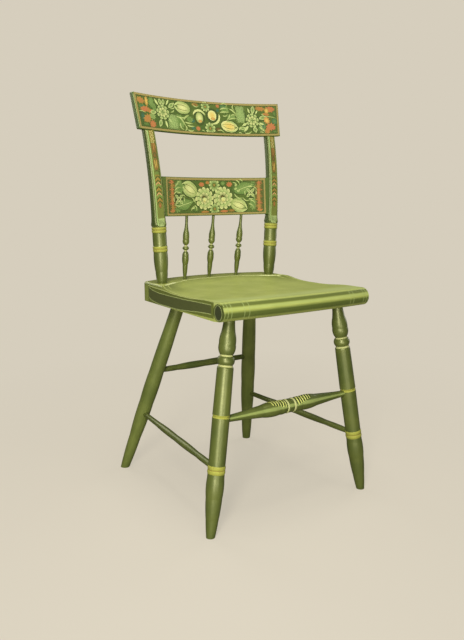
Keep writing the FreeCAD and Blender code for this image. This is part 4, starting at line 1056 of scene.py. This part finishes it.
lay(crest, "crest_stencil", crest_face, skin("crest_rail"), STENCIL_PAINT)

# %% [markdown]
# The mid rail has the same border and ragged ends, here as a column of splashes with a
# fringe of brown strokes.

# %% Mid rail border and ends
rail = Drawing()
for side in (-1, 1):
    rules(rail, ((127.2, 2.2, 127.2, 80.0, 3.8, GILT, 4), (124.4, 6.0, 124.4, 76.2, 1.0, SHADE, 2)), side)
    for row in range(9):
        height = 11.5 + 7.4 * row
        splash(rail, side * (115 - 3 * (row % 2)), height, 7.5, 4.6, 90 - side * 90,
               (ORANGE, TAWNY, FLAME)[row % 3], TAWNY if row % 2 else ORANGE, row + side, row % 3)
        for w in (height + 1.2, height + 4.9):
            rail.stroke(even((side * 123.2, w), (side * 115.5, w + 0.6), 3), 2.0, BROWN, SHADE, level=4)
            rail.stroke(even((side * 103.5, w), (side * 110.5, w + 0.8), 3), 1.6, BROWN, SHADE, level=4)
rules(rail, ((-129, 78.6, 129, 78.6, 4.4, GILT, 5), (-129, 3.4, 129, 3.4, 3.8, GILT, 5),
             (-124, 75.8, 124, 75.8, 0.9, SHADE, 3), (-124, 5.8, 124, 5.8, 0.9, SHADE, 3)))

RAIL_SPLASHES = (
    (-33, 67, 8, 5, FLAME, ORANGE), (40, 68, 8, 6, FLAME, ORANGE), (-16, 71, 6, 4, ORANGE, TAWNY),
    (24, 70, 6, 5, SAGE, MOSS), (24, 9, 11, 3, ORANGE, FLAME), (44, 10, 10, 3.4, TAWNY, BROWN),
    (-26, 8, 11, 3, TAWNY, ORANGE), (-50, 14, 11, 7, MOSS, SHADE), (-95, 60, 14, 14, MOSS, SAGE),
    (-100, 16, 11, 9, MOSS, SAGE), (98, 24, 10, 14, MOSS, SAGE), (56, 56, 12, 14, MOSS, SHADE),
    (98, 68, 9, 6, MOSS, SAGE))
patches(rail, RAIL_SPLASHES, 1.0)
print("mid rail:", len(RAIL_SPLASHES), "patches")

# %% [markdown]
# Two large blossoms meet in the middle of the rail, with a daisy above and below, a melon
# and a veined leaf on each side, and a small four-leaved knot at each end.

# %% Mid rail flowers and fruit
for x, w, long, wide, turn in ((-78, 25, 23, 13, 14), (78, 60, 27, 14, 18)):
    leaf(rail, x, w, long * 1.06, wide * 1.12, turn, SHADE, SHADE, 2)
    leaf(rail, x, w, long, wide, turn, MOSS, SAGE, 3, 6, HUSK)
    rib = [turned(x, w, share * long, 0, turn) for share in (-0.9, -0.45, 0, 0.45, 0.9)]
    rail.stroke(rib, 1.2, PALE, level=5)
melon(rail, -65, 57, 21.5, 16, 150, HUSK, CREAM)
melon(rail, 63, 21, 21, 15, -20, HUSK, CREAM)
for x, w in ((-95, 35), (93, 49)):
    rail.plate(oval(x, w, 13, 13), SHADE, SHADE, 3)
    for angle in (45, 135, 225, 315):
        leaf(rail, *turned(x, w, 8.5, 0, angle), 5.5, 3.8, angle, PALE, MOSS, 4)
        rail.stroke(arc(x, w, 14, angle + 25, angle + 65, 7), 2.0, PALE, level=5)
    petals(rail, x, w, 1.0, (4, 1.0, 4.2, 3.6), PALE, CREAM, 0, level=6)
daisy(rail, 1, 66, 14, 10)
daisy(rail, 0, 14, 12.5, 10, 12)
blossom(rail, -26, 37, 24, 0)
blossom(rail, 23, 38, 24.5, 15)

RAIL_RIBBONS = (
    (52, 47, 76, 38, -0.2, 2.6), (74, 38, 92, 34, -0.25, 2.4), (88, 44, 104, 36, 0.2, 2.4),
    (50, 72, 58, 62, 0.25, 2.6), (57, 76, 66, 66, 0.25, 2.6), (66, 78, 74, 73, 0.2, 2.2),
    (-60, 38, -51, 26, 0.2, 2.8), (-53, 22, -48, 11, 0.2, 2.6), (-62, 11, -52, 20, 0.2, 2.4),
    (-106, 53, -88, 60, 0.15, 2.8), (-108, 46, -94, 52, 0.15, 2.4), (-104, 62, -92, 70, 0.1, 2.6),
    (-98, 70, -88, 74, 0.1, 2.0), (-86, 44, -78, 40, 0.2, 2.2), (92, 32, 103, 24, 0.2, 2.6),
    (88, 24, 100, 14, 0.2, 2.6), (100, 62, 108, 54, 0.2, 2.2), (-108, 24, -98, 16, 0.2, 2.0))
ribbons(rail, RAIL_RIBBONS, 7)
for x, w in ((-53, 33), (-56, 17), (56, 58), (63, 53), (57, 66)):
    rail.plate(oval(x, w, 3.4, 2.4, 30, 12), PALE, HUSK, 7)
lay(rail, "mid_rail_stencil", rail_face, skin("mid_rail"), STENCIL_PAINT)

# %% [markdown]
# The posts carry a narrow chain of leaves and buds that runs down the flat front until
# just above the rings. A pale line along the left edge is a painted highlight. The chain
# is drawn once, with 0 as its middle, and laid on both posts, a little off the blade's
# own middle.

# %% Post stencil
CHAIN_TOP = 313
CHAIN_FOOT = 121
CHAIN_FIELD = chart(108, 116, 50)
CHAIN_GREEN = chart(98, 138, 60)
LEFT_EDGE_PAINTED_HIGHLIGHT = chart(150, 174, 104)
RIGHT_EDGE = chart(136, 148, 78)
SPRIG_GREEN = chart(150, 166, 102)
CHEVRONS = (SHADE, TAWNY, SHADE, chart(184, 146, 98), CHAIN_GREEN)


def post_face(side, shift):
    """place(across, up, out) for the flat front of a post; up is from the deck."""
    def place(across, along, out):
        sine, cosine, back = lean_at(along)
        depth = 0.009 + out
        rise = along + depth * sine
        across += shift
        x = side * (POST_X + rise * sin(SPLAY)) + across * cos(SPLAY)
        z = DECK + rise * cos(SPLAY) - side * across * sin(SPLAY)
        return (x, POST_Y + back - depth * cosine, z)

    return place


def post_chain():
    """From the crest down to the last bud, with a painted highlight on the left edge, a line on the right
    edge and the sprig at its foot.
    """
    film = Drawing()
    for x in (-6, 0, 6):
        film.rule((x - 1.6, CHAIN_FOOT), (x - 1.2, CHAIN_TOP), 6.1, CHAIN_FIELD, 0)
    for index, along in enumerate((308, 300, 292)):
        petals(film, 0, along, 1.0, (5, 0.8, 3.4, 2.6), BROWN, CREAM, 40 * index, level=2)
    film.stroke(arc(0, 277, 4.4, 0, 180, 9, 2.4), 2.4, TAWNY, BROWN, level=2)
    film.stroke(even((0, 272), (0, 287), 4), 1.8, ORANGE, TAWNY, level=3)
    for low, high, tint in ((259, 288, BROWN), (290, CHAIN_TOP, OCHRE), (165, 224, OCHRE)):
        film.rule((-0.2, low), (-0.2, high), 9.5, tint, 1)
    for side in (-1, 1):
        film.stroke([(0, 269), (side * 4.6, 263), (0, 258)], 1.6, SHADE, level=2, ends=0.8)
    film.plate(oval(0, 246, 13, 5.8, 90), BROWN, TAWNY, 1)
    for x, tint in ((-4.2, SHADE), (-2.1, GOLD), (0, SHADE), (2.1, GOLD), (4.2, SHADE)):
        film.stroke(even((x, 256 - abs(x)), (x * 0.8, 236 + abs(x)), 7), 1.1, tint, level=3)
    for along, tint in ((231, SHADE), (227, MOSS)):
        film.stroke([(-6, along), (0, along + 1.6), (6, along)], 2.2, tint, level=2)
    for index in range(13):
        along = 222 - 4.2 * index
        for side in (-1, 1):
            film.stroke([(0, along), (side * 2.9, along - 2.2), (side * 5.9, along - 6.2)], 2.5,
                        CHEVRONS[index % 5], level=2 + index % 2, ends=0.5)
    film.plate(oval(0, 163, 6, 3.2, 90, point=0.5), BROWN, ORANGE, 4)
    # Painted highlight along the blade's left edge.
    film.rule((-9.4, CHAIN_FOOT), (-8.2, CHAIN_TOP), 2.4, LEFT_EDGE_PAINTED_HIGHLIGHT, 3)
    film.rule((9.0, 150), (7.4, CHAIN_TOP), 1.1, RIGHT_EDGE, 1)
    for x in (-5, 0, 5):
        film.rule((x, 120.5), (x, 137), 5.1, SPRIG_GREEN, 2)
    for index in range(5):
        film.stroke(even((-6 + 2.9 * index, 136 - index), (-6.4 + 3.2 * index, 121.5)), 1.3, SHADE, level=4)
    return film


chain = post_chain()
for (side_name, side), shift in zip(SIDES, (1.6, 0.6)):
    lay(chain, "post_stencil_" + side_name, post_face(side, shift * MM), skin("post_" + side_name),
        STENCIL_PAINT)

# %% [markdown]
# The seat is striped. A pale line, a soft path through a few points, follows the front of
# the raised deck and turns back along its sides. A thinner line runs forward along each
# edge of the seat, and two strokes in each corner fade out towards it.

# %% Lines on the seat's top
SEAT_LINE = chart(222, 227, 164)
EDGE_LINE = chart(176, 184, 116)
DECK_LINE = ((0, 98), (34, 98), (64, 92), (97, 79), (134, 57), (150, 46), (158, 47), (162, 55),
             (163, 72), (162.5, 90), (160.5, 108), (157, 121))


def half_width(y):
    """Half the seat's width at a depth, in mm."""
    return 179 - (y + 222) * 14 / 343


def smooth(points, step=4.0):
    """A soft path through given points."""
    path = []
    whole = [points[0]] + list(points) + [points[-1]]
    for before, start, end, after in zip(whole, whole[1:], whole[2:], whole[3:]):
        count = max(2, ceil(dist(start, end) / step))
        for index in range(count):
            t = index / count
            path.append(tuple(0.5 * (2 * b + (c - a) * t + (2 * a - 5 * b + 4 * c - d) * t * t
                                     + (3 * b - a - 3 * c + d) * t ** 3)
                              for a, b, c, d in zip(before, start, end, after)))
    return path + [points[-1]]


seat = skin("seat_plank")
top_lines = Drawing()
deck_path = [(-x, y) for x, y in reversed(DECK_LINE)] + list(DECK_LINE[1:])
top_lines.line(smooth(deck_path), 3.6, SEAT_LINE, 1)
for side in (-1, 1):
    edge_path = [(side * (half_width(y) - 3.0), y) for y in range(26, -190, -8)]
    top_lines.line(edge_path if side < 0 else edge_path[::-1], 1.8, EDGE_LINE, 2)
    for near, far in (((142, 76), (165, 22)), ((126, 84), (152, 20))):
        top_lines.stroke(curl((side * near[0], near[1]), (side * far[0], far[1]), 0.05 * side, 12), 2.6,
                         EDGE_LINE, SEAT_GREEN_WITH_PAINTED_LIGHT, level=2)
lay(top_lines, "seat_deck_striping", lambda x, y, out: (x, y, 0.446 + out), seat, STRIPING_PAINT,
    20)

# %% [markdown]
# Each side of the plank carries a dark panel with a line above and below it, and the end
# of the roll a dark disc with a ring. The panel narrows towards the roll, so its two edges
# are paths of their own, and the field between them is filled row by row. The places are
# (depth, height) in the seat's own sizes.

# %% Sides of the seat
INNER_LINE = chart(160, 170, 108)
SIDE_FIELD = chart(98, 107, 46)
SIDE_HEART = chart(80, 86, 46)
END_FIELD = chart(74, 84, 36)
ROLL_FIELD = chart(58, 64, 38)
END_Y = -196.0
END_Z = 428.8
PANEL_BACK = 91
PANEL_LENGTH = 261
PANEL_ROWS = 40
EDGE_PATH = smooth(((94, 445.6), (71, 444.4), (43, 444), (15, 443), (-11, 441.6), (-49, 441.2),
                    (-74, 441.6), (-98, 442.6), (-118, 444.2), (-144, 446), (-179, 446.8)), 6)
INNER_UPPER = smooth(((91, 442), (76, 438.5), (55, 436.2), (29, 435.4), (-32, 435.8), (-68, 436.4),
                      (-118, 438.5), (-170, 440)), 6)
INNER_LOWER = smooth(((91, 421), (84, 417.6), (70, 415), (42, 412.8), (-27, 412.8), (-60, 414.4),
                      (-90, 417), (-128, 420.5), (-170, 423)), 6)


def height_on(path, y):
    """The height of a path that runs towards the front, at a depth."""
    for (far, high), (near, low) in zip(path, path[1:]):
        if near <= y <= far:
            return high + (low - high) * (far - y) / (far - near)
    return path[0][1] if y > path[0][0] else path[-1][1]


panel = Drawing()
floor = [(y, 411.3 + max(0, -y - 30) / 32) for y, z in EDGE_PATH]
panel.band(floor[::-1], [(y, z - 0.9) for y, z in EDGE_PATH][::-1], SIDE_FIELD, 0)
rows = [PANEL_BACK - PANEL_LENGTH * index / PANEL_ROWS for index in range(PANEL_ROWS + 1)]
panel.band([(y, height_on(INNER_LOWER, y)) for y in rows][::-1],
           [(y, height_on(INNER_UPPER, y)) for y in rows][::-1], SIDE_HEART, 1)
panel.line(EDGE_PATH, 1.6, EDGE_LINE, 2)
panel.line(INNER_UPPER, 1.3, INNER_LINE, 2)
panel.line(INNER_LOWER, 1.3, INNER_LINE, 2)
panel.plate(oval(END_Y, END_Z, 18.4, 16.0, count=32), END_FIELD, END_FIELD, 3)
panel.plate(oval(END_Y + 1, END_Z - 0.3, 12.4, 13.4, count=28), ROLL_FIELD, ROLL_FIELD, 4)
panel.line([(END_Y + 1 + 0.92 * (y - END_Y), z - 0.3) for y, z in arc(END_Y, END_Z, 13.8, 0, 360, 33)],
           1.0, INNER_LINE, 6)
for side_name, side in SIDES:
    lay(panel, "seat_side_striping_" + side_name,
        lambda y, z, out, side=side: (side * (half_width(y / MM) * MM + out), y, z),
        seat, STRIPING_PAINT, 4)

# %% [markdown]
# Thin lines cross the roll near both ends, like the bands on a bolster. They are drawn
# round the roll: up the drawing is round the cylinder, which bows out a little in the
# middle of the seat.

# %% Lines round the roll
ROLL_LINE = chart(150, 162, 98)
ROLL_LINES = (-176.6, -170, -162.5, -135.5, -125, 125, 134, 163.6, 171, 176.6)


def roll_face(x, turn, out):
    """A place on the rolled front: turn is measured round it, from level, as a length."""
    angle = turn / (ROLL_RADIUS * MM)
    reach = ROLL_RADIUS * MM + out
    bow = ROLL_BOW * (x / MM) ** 2 * MM
    return (x, ROLL_Y * MM + bow - reach * cos(angle), ROLL_Z * MM + reach * sin(angle))


roll = Drawing()
for x in ROLL_LINES:
    roll.rule((x, -24), (x, 30), 1.0, ROLL_LINE, 1, 3)
lay(roll, "seat_roll_striping", roll_face, seat, STRIPING_PAINT, 6)

# %% [markdown]
# The front stretcher is the one richly turned bar, and the painter feathered it: pale and
# dark strokes slant over the upper side of both vases, longest beside the beads.

# %% Stretcher feathers
FEATHERS = 6
FEATHER_YELLOW = chart(200, 205, 112)
FEATHER_DARK = chart(44, 54, 20)
STRETCHER_REACH = 0.015


def stretcher_face(x, turn, out):
    reach = STRETCHER_REACH + out
    angle = turn / STRETCHER_REACH
    return (x, STRETCHER_Y - reach * sin(angle), STRETCHER_Z + reach * cos(angle))


feathers = Drawing()
for side in (-1, 1):
    for index in range(FEATHERS):
        foot, low = side * (14.5 + 5.8 * index), 20.5 - 1.6 * index
        head = side * (17.0 + 6.8 * index)
        for step, width, tint in ((0, 3.4, FEATHER_DARK), (3.0 * side, 2.8, FEATHER_YELLOW)):
            feathers.stroke(curl((foot + step, low), (head + step, -6), -0.12 * side), width, tint,
                            level=2 * (index % 2) + (width < 3), ends=0.5)
lay(feathers, "stretcher_feathers", stretcher_face, skin("front_stretcher"), STRIPING_PAINT,
    6)
